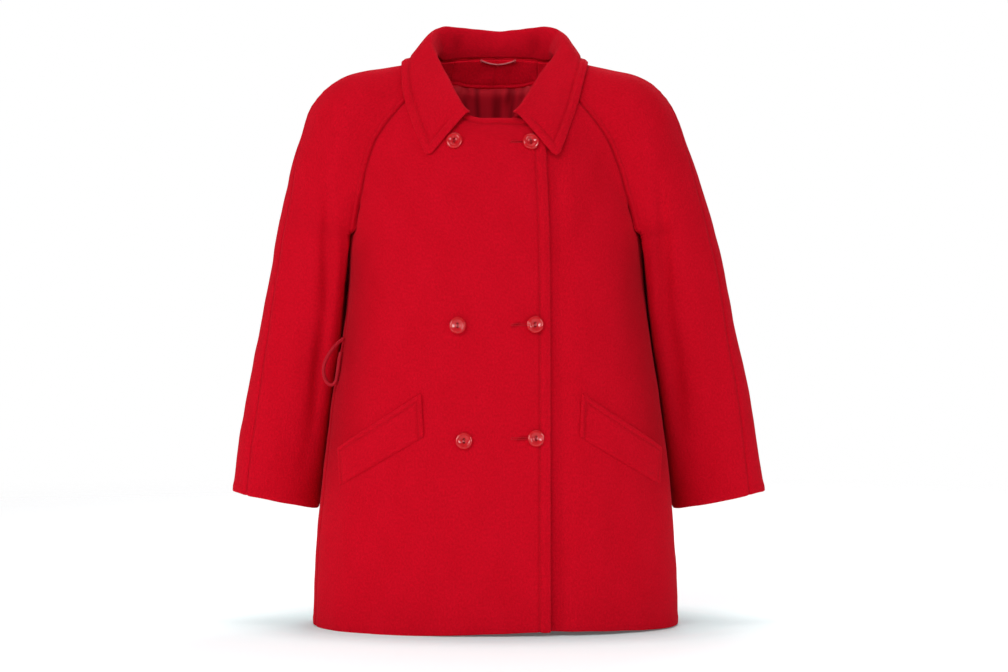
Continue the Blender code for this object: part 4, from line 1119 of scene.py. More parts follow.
class Look:
    """A finish: one material with its shader and the nodes behind it."""

    def __init__(self, name):
        self.material = bpy.data.materials.new(name)
        self.material.use_nodes = True
        self.tree = self.material.node_tree
        self.shader = self.tree.nodes["Principled BSDF"]

    def feed(self, slot, value):
        if isinstance(value, Wire):
            self.tree.links.new(value.socket, slot)
        else:
            slot.default_value = value

    def node(self, kind, settings=None, inputs=None, output=0):
        node = self.tree.nodes.new("ShaderNode" + kind)
        for key, value in (settings or {}).items():
            setattr(node, key, value)
        for key, value in (inputs or {}).items():
            self.feed(node.inputs[key], value)
        return Wire(self, node.outputs[output])

    def mixed(self, share, first, second):
        settings = {"data_type": "RGBA", "clamp_factor": True}
        return self.node("Mix", settings, {0: share, 6: first, 7: second}, output=2)

    def scaled(self, vector, sizes):
        return self.node("VectorMath", {"operation": "MULTIPLY"}, {0: vector, 1: sizes})

    def noise(self, vector, scale, detail=2.0, rough=0.5):
        given = {"Vector": vector, "Scale": scale, "Detail": detail, "Roughness": rough}
        return self.node("TexNoise", None, given)

    def raised(self, height, distance, strength=1.0):
        return self.node("Bump", None, {"Height": height, "Distance": distance, "Strength": strength})

    def set(self, **values):
        for key, value in values.items():
            self.feed(self.shader.inputs[key.replace("_", " ")], value)


# %% [markdown]
# ## Wool
# The cloth is a felted velour wool: matt, with a short nap brushed downwards, a weave that
# only just shows through, and a pale fuzz at the outline, which is a painted sheen where the
# surface faces away. The nap is noise drawn out along the cloth, the weave is two crossed sines
# 1.3 mm apart, and the colour is uneven over a few centimetres. Shade is painted into seams,
# grooves and hollows, and rubbed edges are lighter.

# %% The wool finish
# The deepest red is both the felt's own deeper tone and the colour of painted shade.
WOOL_DEEP_AND_SHADE = (0.250, 0.0012, 0.0050, 1.0)
WOOL_RED = (0.600, 0.0022, 0.0120, 1.0)
WOOL_BRIGHT = (0.710, 0.0036, 0.0190, 1.0)
# The pale pink is both the nap's own fibre colour and the colour of the painted sheen.
WOOL_FUZZ_AND_PAINTED_SHEEN = (0.780, 0.0480, 0.0800, 1.0)
THREADS_TO_A_METRE = 2 * math.pi / 0.0013


def wool(name, shift=0.0, tone=0.0, strength=1.0):
    look = Look(name)
    measures = look.node("UVMap", {"uv_map": "cloth_measures"})
    moved = look.node("VectorMath", {"operation": "ADD"}, {0: measures, 1: (shift, shift * 0.7, 0.0)})
    nap = look.noise(look.scaled(moved, (1500.0, 520.0, 1.0)), 1.0, 3.0, 0.6)
    felt = look.noise(look.scaled(moved, (420.0, 300.0, 1.0)), 1.0, 4.0, 0.62)
    patches = look.noise(look.scaled(moved, (26.0, 15.0, 1.0)), 1.0, 3.0, 0.55)
    threads = look.scaled(moved, (THREADS_TO_A_METRE, THREADS_TO_A_METRE, 0.0))
    warp = look.node("SeparateXYZ", None, {0: threads}, 0)
    weft = Wire(look, warp.socket.node.outputs[1])
    weave = warp.wave() * weft.wave()
    painted_shade = look.node("Attribute", {"attribute_name": "painted_shade"}, None, 2)
    rubbed = look.node("Attribute", {"attribute_name": "rubbed"}, None, 2)
    body = look.mixed((patches * 0.9 + felt * 0.5 - 0.25 + tone).clipped(), WOOL_RED, WOOL_BRIGHT)
    body = look.mixed((0.55 - felt * 0.80 + weave * 0.06).clipped(), body, WOOL_DEEP_AND_SHADE)
    body = look.mixed(((nap - 0.60) * 0.8 + rubbed * 0.10).clipped(), body, WOOL_FUZZ_AND_PAINTED_SHEEN)
    # Painted shade: the colour darkens in seams, grooves and hollows.
    body = look.mixed((painted_shade * 0.62).clipped(), body, WOOL_DEEP_AND_SHADE)
    # Painted sheen: the colour turns pale pink where the surface faces away from the view.
    painted_sheen_rim = look.node("LayerWeight", None, {"Blend": 0.22}, 1)
    body = look.mixed((painted_sheen_rim * painted_sheen_rim * painted_sheen_rim * 0.30).clipped(), body, WOOL_FUZZ_AND_PAINTED_SHEEN)
    # A strength above one brightens the colour, which paints light onto a piece that lies in shade.
    body = look.scaled(body, (strength, strength, strength))
    height = nap * 0.45 + felt * 0.75 + weave * 0.09
    look.set(Base_Color=body, Roughness=0.82 + felt * 0.16, Normal=look.raised(height, 0.0011, 0.75))
    look.shader.inputs["Sheen Weight"].default_value = 0.05
    look.shader.inputs["Sheen Roughness"].default_value = 0.38
    look.shader.inputs["Sheen Tint"].default_value = (1.0, 0.22, 0.28, 1.0)
    look.shader.inputs["Specular IOR Level"].default_value = 0.025
    return look.material


wool_front = wool("wool_front")
wool_back = wool("wool_back", 0.31, -0.04)
wool_sleeve = wool("wool_sleeve", 0.57, 0.02)
wool_collar = wool("wool_collar", 0.83, 0.04)
# The facing's colour is 1.48 times brighter: painted light for the dim inside of the neck.
wool_facing_painted_light = wool("wool_facing_painted_light", 1.21, 0.0, 1.48)
print("wool finishes:", 5)

# %% [markdown]
# ## Lining, plastic, cord and thread
# The lining is a dark satin whose weft lies across it in fine lines, so its gloss is
# broken up along them. The buttons are cast polyester with a polished coat and cloudy
# colour. Cord and thread are smooth fibres, which is a soft gloss over a fine bump.

# %% The other finishes
def satin():
    look = Look("lining_satin")
    measures = look.node("UVMap", {"uv_map": "cloth_measures"})
    lines = look.noise(look.scaled(measures, (260.0, 5200.0, 1.0)), 1.0, 2.0, 0.6)
    clouds = look.noise(look.scaled(measures, (16.0, 11.0, 1.0)), 1.0, 3.0, 0.5)
    painted_shade = look.node("Attribute", {"attribute_name": "painted_shade"}, None, 2)
    share = (clouds * 1.3 - 0.2).clipped()
    colour = look.mixed(share, (0.60, 0.0060, 0.0180, 1.0), (0.78, 0.0160, 0.0360, 1.0))
    # Painted shade: the satin darkens almost to black in the hollows between its folds.
    colour = look.mixed((painted_shade * 0.85).clipped(), colour, (0.07, 0.0010, 0.0025, 1.0))
    rough = 0.36 + lines * 0.16 + clouds * 0.06
    look.set(Base_Color=colour, Roughness=rough, Normal=look.raised(lines, 0.0002, 0.35))
    look.shader.inputs["Specular IOR Level"].default_value = 0.16
    look.shader.inputs["Specular Tint"].default_value = (1.0, 0.45, 0.45, 1.0)
    return look.material


def button_plastic():
    look = Look("button_polyester")
    place = look.node("TexCoord", None, None, 3)
    clouds = look.noise(place, 260.0, 4.0, 0.6)
    scratches = look.noise(look.scaled(place, (9000.0, 900.0, 1400.0)), 1.0, 2.0, 0.5)
    painted_shade = look.node("Attribute", {"attribute_name": "painted_shade"}, None, 2)
    rubbed = look.node("Attribute", {"attribute_name": "rubbed"}, None, 2)
    colour = look.mixed((clouds * 1.6 - 0.4).clipped(), (0.52, 0.003, 0.008, 1.0), (0.64, 0.006, 0.014, 1.0))
    # Painted shade: the slot and the holes are darkened almost to black.
    colour = look.mixed((painted_shade * 0.90).clipped(), colour, (0.08, 0.001, 0.003, 1.0))
    colour = look.mixed((rubbed * 0.08).clipped(), colour, (0.85, 0.08, 0.10, 1.0))
    roughness = 0.26 + clouds * 0.10 + scratches * 0.05
    look.set(Base_Color=colour, Roughness=roughness, Normal=look.raised(scratches, 0.00006, 0.3))
    look.shader.inputs["Coat Weight"].default_value = 0.8
    look.shader.inputs["Coat Roughness"].default_value = 0.04
    look.shader.inputs["Specular IOR Level"].default_value = 0.0
    return look.material


def fibre(name, dark, light, size):
    look = Look(name)
    place = look.node("TexCoord", None, None, 3)
    hairs = look.noise(place, size, 4.0, 0.65)
    fuzz = look.noise(place, size * 0.22, 2.0, 0.5)
    colour = look.mixed((hairs * 1.5 - 0.3 + fuzz * 0.2).clipped(), dark, light)
    look.set(Base_Color=colour, Roughness=0.55 + fuzz * 0.25, Normal=look.raised(hairs, 0.0003, 0.6))
    look.shader.inputs["Sheen Weight"].default_value = 0.03
    look.shader.inputs["Sheen Tint"].default_value = (1.0, 0.3, 0.32, 1.0)
    look.shader.inputs["Specular IOR Level"].default_value = 0.12
    return look.material


lining_satin = satin()
button_polyester = button_plastic()
loop_cord = fibre("loop_cord", (0.30, 0.002, 0.008, 1.0), (0.56, 0.008, 0.024, 1.0), 2400.0)
sewing_thread = fibre("sewing_thread", (0.36, 0.002, 0.008, 1.0), (0.58, 0.006, 0.018, 1.0), 5200.0)
hanger_cord = fibre("hanger_cord", (0.62, 0.050, 0.070, 1.0), (0.88, 0.260, 0.280, 1.0), 2400.0)
pale_thread = fibre("pale_thread", (0.55, 0.012, 0.026, 1.0), (0.76, 0.070, 0.095, 1.0), 5200.0)
print("other finishes:", 5)

# %% [markdown]
# ## The fronts and the backs
# The right front laps over the left one, so the left is let in by the upper front's
# thickness where they overlap, and comes out to the form again beside the lap. The lap
# edge and the neckline are topstitched, the hem is turned, and the raglan and side seams
# are plain. The buttonholes are cut in the right front, each a slit with a corded lip.

# %% Lay out the fine body panels
WALL = 3.0
LAP_SINK = 4.9
LAP_BLEND = (101.0, 22.0)
LAP_INSET = 12.4
HEM_LIFT = 3.2
NECK_INSET = 7.2
RAGLAN_INSET = 6.0
BUTTONHOLE_START = 20.0
BUTTONHOLE_SLITS = ((614.0, 43.0), (384.0, 48.0), (243.0, 49.0))
TURN_PLACES = ((178.0, 50.0, 498.0), (190.0, -44.0, 499.0))
TURN_REACH = 32.0
TURN_THINNER = 0.74


def cloth_wall(points):
    """The cloth's thickness, less where the raglan seams turn sharply in under the arm."""
    either = np.stack([np.abs(points[..., 0]), points[..., 1], points[..., 2]], axis=-1)
    gaps = [np.sum((either - np.array(place)) ** 2, axis=-1) for place in TURN_PLACES]
    return WALL * (1 - TURN_THINNER * np.exp(-np.minimum(gaps[0], gaps[1]) / TURN_REACH**2))


def lap_sink(points):
    return LAP_SINK * ease((LAP_BLEND[0] - points[..., 0]) / LAP_BLEND[1])


def fine_panel(side, facing):
    pattern = panels[(side, facing)]
    rows = close_set(pattern[:, 9], True, True)
    columns = close_set(pattern[6], True, True)
    grid = onto(trunk, finer(pattern, rows, columns))
    seam_start = len(pattern[0]) - CAP_ROWS - 1
    return grid, columns > seam_start


def slit_lift(points):
    """The lips and the cut of the buttonholes, and the painted shade in the cut."""
    lift = np.zeros(points.shape[:-1])
    shade = np.zeros(points.shape[:-1])
    for height, end in BUTTONHOLE_SLITS:
        lean = float(BODY.at(height, "sway"))
        line = np.array([(BUTTONHOLE_START - lean, 0.0, height), (end - lean, 0.0, height)])
        flat = points * np.array([1.0, 0.0, 1.0])
        gap = gap_to(flat, line)
        lift += 0.4 * np.exp(-(((gap - 1.5) / 1.0) ** 2)) - 0.8 * np.exp(-((gap / 0.7) ** 2))
        # Painted shade along the cut.
        shade += 1.5 * np.exp(-((gap / 0.9) ** 2))
    return lift, shade


# %% [markdown]
# The creases and the swell or dip at each edge are added up as one lift off the form.
# Then each panel is closed to a thin shell.

# %% Shape and close them
body_cloth = {}
stitch_lines = []
front_faces = {}
for side, facing in ((-1, -1), (1, -1), (-1, 1), (1, 1)):
    grid, on_seam = fine_panel(side, facing)
    way = way_out(trunk, grid)
    whole = crease_lift(grid)
    middle_gap = gap_to(grid, grid[::2, 0])
    hem_gap = gap_to(grid, grid[0, ::2])
    side_gap = gap_to(grid, grid[::2, -1])
    raglan_gap = gap_to(grid, grid[-1, on_seam][::2])
    neck_gap = gap_to(grid, grid[-1, ~on_seam][::2])
    detail = seam_section(side_gap) + seam_section(raglan_gap)
    detail += turned_section(hem_gap) + 0.5 * unevenness(grid, 60, 31) * np.exp(-hem_gap / 25)
    # Painted shade along the side and raglan seams.
    shade = 0.75 * (np.exp(-((side_gap / 1.7) ** 2)) + np.exp(-((raglan_gap / 1.7) ** 2)))
    sideways = np.abs(way[..., 0])
    height = grid[..., 2]
    # Painted shade on the body's side where it turns away from the front, below the arms.
    shade += 0.75 * ease((sideways - 0.45) / 0.5) * ease((520 - height) / 60) * ease((height - 130) / 120)
    wear = 0.5 * np.exp(-hem_gap / 1.6)
    if facing < 0:
        detail += stitched_section(middle_gap, LAP_INSET, grid) + stitched_section(neck_gap, NECK_INSET, grid)
        shade += channel_shade(middle_gap, LAP_INSET) + channel_shade(neck_gap, NECK_INSET)
        wear += 0.7 * np.exp(-middle_gap / 1.5) + 0.6 * np.exp(-neck_gap / 1.5)
    else:
        detail += seam_section(middle_gap)
        # Painted shade along the back's middle seam.
        shade += 0.75 * np.exp(-((middle_gap / 1.7) ** 2))
    if facing < 0 and side < 0:
        slits, slit_shade = slit_lift(grid)
        detail += slits
        shade += slit_shade
        whole = whole + HEM_LIFT * ease((420 - grid[..., 2]) / 420) * np.exp(-middle_gap / 34)
    if facing < 0 and side > 0:
        whole = whole - lap_sink(grid)
        whole = whole - 1.6 * ease((420 - grid[..., 2]) / 420) * ease((104 - grid[..., 0]) / 30)
        detail = detail * (1 - 0.8 * ease((LAP_EDGE + 4 - grid[..., 0]) / 8))
    outer = grid + way * (whole + detail)[..., None]
    inner = grid + way * (whole - cloth_wall(grid))[..., None]
    rounded = {"low": 1.0, "high": np.where(on_seam, 0.0, 1.0)}
    if facing < 0:
        rounded["start"] = 1.0
        stitch_lines.append(beside(outer, "start", LAP_INSET))
        stitch_lines.append(beside(outer, "high", NECK_INSET)[~on_seam])
        front_faces[side] = outer
    name = "wool_" + ("front_" if facing < 0 else "back_") + SIDE_NAMES[side]
    finish = wool_front if facing < 0 else wool_back
    body_cloth[(side, facing)] = cloth_shell(name, outer, inner, finish, rounded, shade, wear)

# %% [markdown]
# ## The sleeves
# A raglan sleeve runs up to the neck in two pieces, joined over the arm. Each piece is
# laid between the body's own seam line and the overarm seam. Next to the body's seam the
# points are not pulled onto the sleeve's form, so that the seam stays closed.

# %% Lay out the fine sleeves
CUFF_WAVE = 0.7
SHOULDER_PAD = {-1: 5.5, 1: 3.2}
# Strength and reach of the painted shade on each sleeve next to the body below the underarm.
UNDERARM_PAINTED_SHADE = {-1: (1.0, 30.0), 1: (1.45, 42.0)}


def shoulder_lift(points, most):
    """The soft pad over the shoulder, and the flatter place below its end."""
    pad = most * np.exp(-(((points[..., 0] - 192) / 34) ** 2)) * ease((points[..., 2] - 640) / 50)
    flat = 4.0 * np.exp(-(((points[..., 2] - 632) / 26) ** 2)) * ease((points[..., 0] - 215) / 30)
    return pad - flat


sleeve_cloth = {}
for (side, facing), pattern in sleeves.items():
    rows = close_set(pattern[:, -1], True, True)
    columns = close_set(pattern[8], True, True)
    grid = finer(pattern, rows, columns)
    seam_gap = gap_to(grid, grid[::2, 0])
    pulled = onto(arm, grid)
    grid = grid + (pulled - grid) * ease(seam_gap / 9)[..., None]
    way = way_out(arm, grid, 3.0)
    worn = mirrored(grid, side)
    whole = crease_lift(worn) * ease(seam_gap / 7)
    whole = whole + shoulder_lift(grid, SHOULDER_PAD[side]) * ease(seam_gap / 42)
    over_gap = gap_to(grid, grid[::2, -1])
    cuff_gap = gap_to(grid, grid[0, ::2])
    upper = ease((grid[..., 2] - 500) / 12)
    detail = seam_section(seam_gap) + seam_section(over_gap, 0.6)
    detail += 0.45 * np.exp(-(((over_gap - 5.5) / 3.4) ** 2)) * (1 if facing < 0 else 0.4)
    detail += 0.55 * upper * np.exp(-(((seam_gap - 3.4) / 2.2) ** 2))
    detail -= 0.45 * upper * np.exp(-(((seam_gap - RAGLAN_INSET) / 1.6) ** 2))
    detail += turned_section(cuff_gap, 1.3) + CUFF_WAVE * unevenness(worn, 38, 17) * np.exp(-cuff_gap / 14)
    # Painted shade: the seams are darker, and the sleeve darkens next to the body below the underarm.
    shade = 0.75 * np.exp(-((seam_gap / 1.7) ** 2)) + 0.4 * np.exp(-((over_gap / 1.7) ** 2))
    dark, reach = UNDERARM_PAINTED_SHADE[side]
    shade += dark * np.exp(-((seam_gap / reach) ** 2)) * ease((520 - grid[..., 2]) / 150)
    shade += 0.5 * upper * channel_shade(seam_gap, RAGLAN_INSET)
    wear = 0.6 * np.exp(-cuff_gap / 1.6)
    outer = mirrored(grid + way * (whole + detail)[..., None], side)
    inner = mirrored(grid + way * (whole - cloth_wall(grid))[..., None], side)
    stitched = beside(outer, "start", RAGLAN_INSET)
    stitch_lines.append(stitched[stitched[:, 2] > 512])
    name = "wool_sleeve_" + ("front_" if facing < 0 else "back_") + SIDE_NAMES[side]
    sleeve_cloth[(side, facing)] = cloth_shell(name, outer, inner, wool_sleeve, {"low": 1.0}, shade, wear)

# %% [markdown]
# ## The collar
# The collar is one strip: a stand that rises from the neckline, a roll, and a fall that
# lies on the shoulders. It is lofted from sections across the strip, and each point is
# kept a little above the coat. Two layers of wool are stitched together along its edge,
# so the edge is the plumpest part of the coat.

# %% The collar's sections
COLLAR_END = 30.0
COLLAR_COLUMNS = 21
COLLAR_WALL = 2.4
COLLAR_LIFT = 1.8
COLLAR_RISE = 1.3
STAND_ROWS = 4
FALL_ROWS = 7


def neckline(edges, fronts_and_backs):
    """The neck edge from the collar's front end round to the middle of the back."""
    front = mirrored(fronts_and_backs[(-1, -1)][-1], -1)[: FRONT_NECK_COLUMNS + 1]
    front = even(front, np.linspace(0, 1, 120))
    front = front[front[:, 0] >= COLLAR_END]
    back = mirrored(fronts_and_backs[(-1, 1)][-1], -1)[: BACK_NECK_COLUMNS + 1][::-1]
    return np.concatenate([front[:-1], edges[(-1, -1)], edges[(-1, 1)][::-1][1:], back[1:]])


def hermite(start, start_way, end, end_way, share):
    square = share * share
    cube = square * share
    return (
        (2 * cube - 3 * square + 1) * start
        + (cube - 2 * square + share) * start_way
        + (3 * square - 2 * cube) * end
        + (cube - square) * end_way
    )


def collar_strip(neck_line):
    """The middle surface of half the collar, from its front end to the middle of the back."""
    shares = np.linspace(0, 1, COLLAR_COLUMNS)
    neck = even(neck_line, shares)
    _, out_way = clearance(neck)
    along = np.gradient(neck, axis=0)
    along[-1] = (-1.0, 0.0, 0.0)
    along /= np.linalg.norm(along, axis=1, keepdims=True)
    up = np.cross(out_way, along)
    up /= np.linalg.norm(up, axis=1, keepdims=True)
    up *= np.sign(up[:, 2:])
    base = neck - out_way * WALL / 2 + up * COLLAR_RISE
    fold = np.stack([COLLAR.at(shares, name) for name in ("fold_x", "fold_y", "fold_height")], axis=1)
    edge = np.stack([COLLAR.at(shares, name) for name in ("edge_x", "edge_y", "edge_height")], axis=1)
    rest = COLLAR_WALL / 2 + COLLAR_LIFT
    for _ in range(4):
        for _ in range(4):
            far, way = clearance(edge)
            edge = edge - way * (far - rest)[:, None]
        edge[1:-1] = (edge[:-2] + 2 * edge[1:-1] + edge[2:]) / 4
    outward = edge - fold
    outward[:, 2] = 0.0
    outward[-1] = (0.0, 1.0, 0.0)
    outward /= np.linalg.norm(outward, axis=1, keepdims=True)
    rise = np.linalg.norm(fold - base, axis=1, keepdims=True)
    roll = np.clip(rise * 0.5, 5.0, 14.0)
    columns = []
    for share in np.linspace(0, 1, STAND_ROWS + 1)[:-1]:
        columns.append(hermite(base, up * rise, fold, outward * roll, share))
    for share in np.linspace(0, 1, FALL_ROWS + 1) ** 1.25:
        points = hermite(fold, outward * roll * 2.2, edge, (edge - fold) * 0.9, share)
        for _ in range(6):
            far, way = clearance(points)
            points = points + way * np.maximum(rest - far, 0.0)[:, None]
        columns.append(points)
    grid = np.array(columns).transpose(1, 0, 2)
    return np.concatenate([mirrored(grid, -1), grid[::-1][1:]])


def round_corners(grid, radius):
    """Pull the two corners of the fall in along the cloth, so that each is a quarter round."""
    across = np.cumsum(np.linalg.norm(np.diff(grid, axis=1), axis=2)[:, ::-1], axis=1)[:, ::-1]
    to_edge = np.pad(across, ((0, 0), (0, 1)))
    along = np.pad(np.cumsum(np.linalg.norm(np.diff(grid, axis=0), axis=2), axis=0), ((1, 0), (0, 0)))
    ways = [np.gradient(grid, axis=axis) for axis in (0, 1)]
    ways = [way / np.linalg.norm(way, axis=2, keepdims=True) for way in ways]
    near_edge = np.clip(1 - to_edge / radius, 0, 1)
    moved = grid.copy()
    for gap, sign in ((along, -1), (along[-1] - along, 1)):
        near_end = np.clip(1 - gap / radius, 0, 1)
        size = np.maximum(np.hypot(near_edge, near_end), 1e-9)
        pull = radius * (1 - np.maximum(near_edge, near_end) / size) * (near_edge > 0) * (near_end > 0)
        moved -= pull[..., None] * (near_edge[..., None] * ways[1] + sign * near_end[..., None] * ways[0])
    return moved


# %% Shape and close the collar
COLLAR_INSET = 10.4
COLLAR_ROUND = 11.0
COLLAR_PLUMP = 1.25

neck = neckline({key: pattern[-1] for key, pattern in sleeves.items()}, panels)
strip = collar_strip(neck)
rows = close_set(strip[:, -1], True, True, 3.2)
columns = close_set(strip[20], False, True, 2.6)
strip = finer(strip, rows, columns)
strip = round_corners(strip, COLLAR_ROUND)
run = np.gradient(strip, axis=0)
climb = np.gradient(strip, axis=1)
way = np.cross(run, climb)
way /= np.linalg.norm(way, axis=2, keepdims=True)
fall = strip[:, -8:].reshape(-1, 3)
facing_sign = np.sign(np.sum(clearance(fall)[1] * way[:, -8:].reshape(-1, 3), axis=1).mean())
way = way * facing_sign
edge_gap = gap_to(strip, strip[::2, -1])
end_gap = np.minimum(gap_to(strip, strip[0, ::2]), gap_to(strip, strip[-1, ::2]))
border = np.minimum(edge_gap, end_gap)
on_fall = ease((np.linspace(0, 1, strip.shape[1]) - 0.36) / 0.16)[None]
lift = stitched_section(border, COLLAR_INSET, strip, COLLAR_PLUMP, 1.15) * on_fall
lift += 0.5 * unevenness(strip, 46, 41) + 0.25 * unevenness(strip, 19, 43)
off_middle = (np.abs(strip[..., 0]) - 50) / 8
off_height = (strip[..., 2] - 756) / 15
dimple = np.exp(-(off_middle**2) - off_height**2) * (strip[..., 1] > 20)
lift -= 2.6 * dimple * (1 - on_fall)
# Painted shade in the stitched channel of the fall and in the dimples of the stand.
shade = 0.6 * channel_shade(border, COLLAR_INSET) * on_fall + 0.5 * dimple * (1 - on_fall)
wear = 0.6 * np.exp(-border / 1.6)
fold_ridge = np.exp(-(((np.arange(strip.shape[1]) - strip.shape[1] * 0.36) / 5.0) ** 2))[None]
outer = strip + way * (COLLAR_WALL / 2 + 0.3 + lift)[..., None]
inner = strip - way * (COLLAR_WALL / 2)
collar = cloth_shell(
    "wool_collar", outer, inner, wool_collar, {"start": 0.0, "end": 1.0, "low": 1.0, "high": 1.0}, shade,
    wear + 0.12 * fold_ridge,
)
collar_low = beside(outer, "end", COLLAR_INSET)
stitch_lines.append(collar_low[12:-12])
stitch_lines.append(beside(outer, "low", COLLAR_INSET)[6:-9])
stitch_lines.append(beside(outer, "high", COLLAR_INSET)[6:-9])

# %% [markdown]
# ## The facing and the lining
# Only the back of the inside shows, through the neck. A wool facing follows the neckline
# with a seam in its middle, and the satin lining hangs from it in soft upright folds. The
# satin is cut a little wider than the wool, which is what makes the folds.

# %% The neck facing in three pieces
FACING_END_DEPTH = 2.0
FACING_COLUMNS = 11
FACING_ROWS = 4
FACING_SEAM = 57.0
FACING_WALL = 1.6
FACING_INSET = 4.2


def facing_bands(path):
    """Columns down the inside of the coat from its neckline, all round the back."""
    run = length_along(path)
    shoulder = int(np.argmin(np.abs(path[:, 1] - FACING_END_DEPTH)))
    places = np.linspace(run[shoulder], run[-1], FACING_COLUMNS)
    top = np.stack([np.interp(places, run, path[:, axis]) for axis in range(3)], axis=1)
    along = np.gradient(top, axis=0)
    along[-1] = (-1.0, 0.0, 0.0)
    along /= np.linalg.norm(along, axis=1, keepdims=True)
    depth = FACING_DEPTH.at(top[:, 0], "depth")
    rows = [top]
    point = top
    for _ in range(FACING_ROWS):
        for _ in range(3):
            down = np.cross(clearance(point)[1], along)
            down *= -np.sign(down[:, 2:])
            down /= np.linalg.norm(down, axis=1, keepdims=True)
            point = point + down * (depth / FACING_ROWS / 3)[:, None]
            far, way = clearance(point)
            point = point - way * far[:, None]
        rows.append(point)
    grid = np.array(rows)
    return np.concatenate([grid * np.array([-1.0, 1.0, 1.0]), grid[:, ::-1][:, 1:]], axis=1)


bands = facing_bands(neck)
rows = close_set(bands[:, 10], False, True, 3.0)
columns = close_set(bands[2], False, False, 2.4)
grid = finer(bands, rows, columns)
facing_edge = grid[-1]
way = way_out(arm, grid)
seam_places = [int(np.argmin(np.abs(grid[0, :, 0] - place))) for place in (-FACING_SEAM, 0.0, FACING_SEAM)]
seam_gaps = [gap_to(grid, grid[:, place]) for place in seam_places]
lower_gap = gap_to(grid, grid[-1, ::2])
dent = -sum(seam_section(gap, 0.55) for gap in seam_gaps)
bulge = stitched_section(lower_gap, FACING_INSET, grid, 0.5, 0.6) + 0.25 * unevenness(grid, 28, 51)
# Painted shade along the facing's seams and its stitched channel.
shade = 0.3 * sum(np.exp(-((gap / 1.3) ** 2)) for gap in seam_gaps)
shade += 0.3 * channel_shade(lower_gap, FACING_INSET)
against = grid - way * (WALL + 0.85)
shown = against - way * (FACING_WALL + bulge - dent)[..., None]
shown[0] += (shown[1] - shown[0]) * 0.3
against[0] += (against[1] - against[0]) * 0.3
facing_cloth = []
for name, first, last in (
    ("wool_neck_facing", seam_places[0], seam_places[2]),
    ("wool_side_facing_right", 0, seam_places[0]),
    ("wool_side_facing_left", seam_places[2], grid.shape[1] - 1),
):
    part = np.s_[:, first : last + 1]
    facing_cloth.append(
        cloth_shell(name, shown[part], against[part], wool_facing_painted_light, {"high": 1.0}, shade[part])
    )

# %% [markdown]
# Behind the facings hangs the lining, a slippery satin that falls in narrow folds. They
# are listed in a table, like the creases of the wool.

# %% The lining of the back
LINING_HEM = 28.0
LINING_SHOULDER = 672.0
LINING_INSET = 6.0
LINING_DROP = -5.0
LINING_COLUMNS = 10
LINING_ROWS = 15
LINING_GAP = 2.4


def lining_pattern(lower_edge):
    """The lining from its middle to the raglan and side seams, both halves."""
    halves = []
    for side in (-1, 1):
        seam = raglan(RAGLAN_BACK, 1, side)
        seam = seam[seam[:, 2] < LINING_SHOULDER]
        seam_flat = np.stack([patch_along(seam, 1), seam[:, 2]], axis=1)
        seam_flat[:, 0] -= side * LINING_INSET
        edge = lower_edge[lower_edge[:, 0] * side > 0]
        edge = edge[np.abs(edge[:, 0]) < FACING_SEAM]
        edge = edge[np.argsort(-np.abs(edge[:, 0]))]
        edge_flat = np.stack([edge[:, 0], edge[:, 2] - LINING_DROP], axis=1)
        middle = np.array([[0.0, edge_flat[-1, 1]]])
        top = np.concatenate([seam_flat, edge_flat, middle])[::-1]
        heights = np.linspace(LINING_HEM, UNDERARM_HEIGHT, 20)
        depth = SIDE_SEAM.at(heights, "right_depth" if side < 0 else "left_depth")
        starts = np.stack([np.zeros(20), depth, heights], axis=1)
        seam_side = cast(trunk, starts, np.tile((float(side), 0.0, 0.0), (20, 1)))
        side_line = np.stack([patch_along(seam_side, 1) - side * LINING_INSET, heights], axis=1)
        side_line[-1] = top[-1]
        centre = np.stack([np.zeros(20), np.linspace(LINING_HEM, top[0, 1], 20)], axis=1)
        low = np.linspace(centre[0], side_line[0], LINING_COLUMNS)
        shares = np.linspace(0, 1, LINING_ROWS)
        high = even(top, np.linspace(0, 1, LINING_COLUMNS))
        halves.append(relaxed(coons(low, high, even(centre, shares), even(side_line, shares))))
    return np.concatenate([halves[0][:, ::-1], halves[1][:, 1:]], axis=1)


flat = lining_pattern(facing_edge)
flat = finer(flat, np.linspace(0, len(flat) - 1, 150), np.linspace(0, flat.shape[1] - 1, 120))
grid = patch_point(flat[..., 0].ravel(), flat[..., 1].ravel(), 1).reshape(flat.shape[:2] + (3,))
way = way_out(trunk, grid)

# %% Let the lining fall in folds
LINING_FOLDS = Table(
    "across_a height_a across_b height_b width depth",
    (
        (-45, 735, -42, 640, 3.5, 3.4),
        (-30, 735, -25, 560, 4, 4.6),
        (-14, 735, -8, 600, 5, 2.6),
        (2, 735, -4, 640, 3, 3.2),
        (12, 735, 24, 560, 4, 5.0),
        (33, 735, 36, 600, 4, 3.6),
        (48, 735, 52, 430, 6, 3.4),
        (-56, 730, -62, 440, 7, 3.2),
        (-76, 690, -88, 300, 10, 3.4),
        (74, 690, 90, 320, 10, 3.2),
        (-108, 620, -124, 160, 11, 3.4),
        (112, 610, 122, 180, 11, 3.2),
        (-140, 480, -160, 60, 12, 3.0),
        (142, 470, 158, 60, 12, 3.0),
        (-4, 480, 4, 40, 10, 2.8),
        (-44, 440, -50, 40, 11, 3.0),
        (46, 420, 54, 40, 11, 2.8),
    ),
)
LINING_TUCK = 8.0

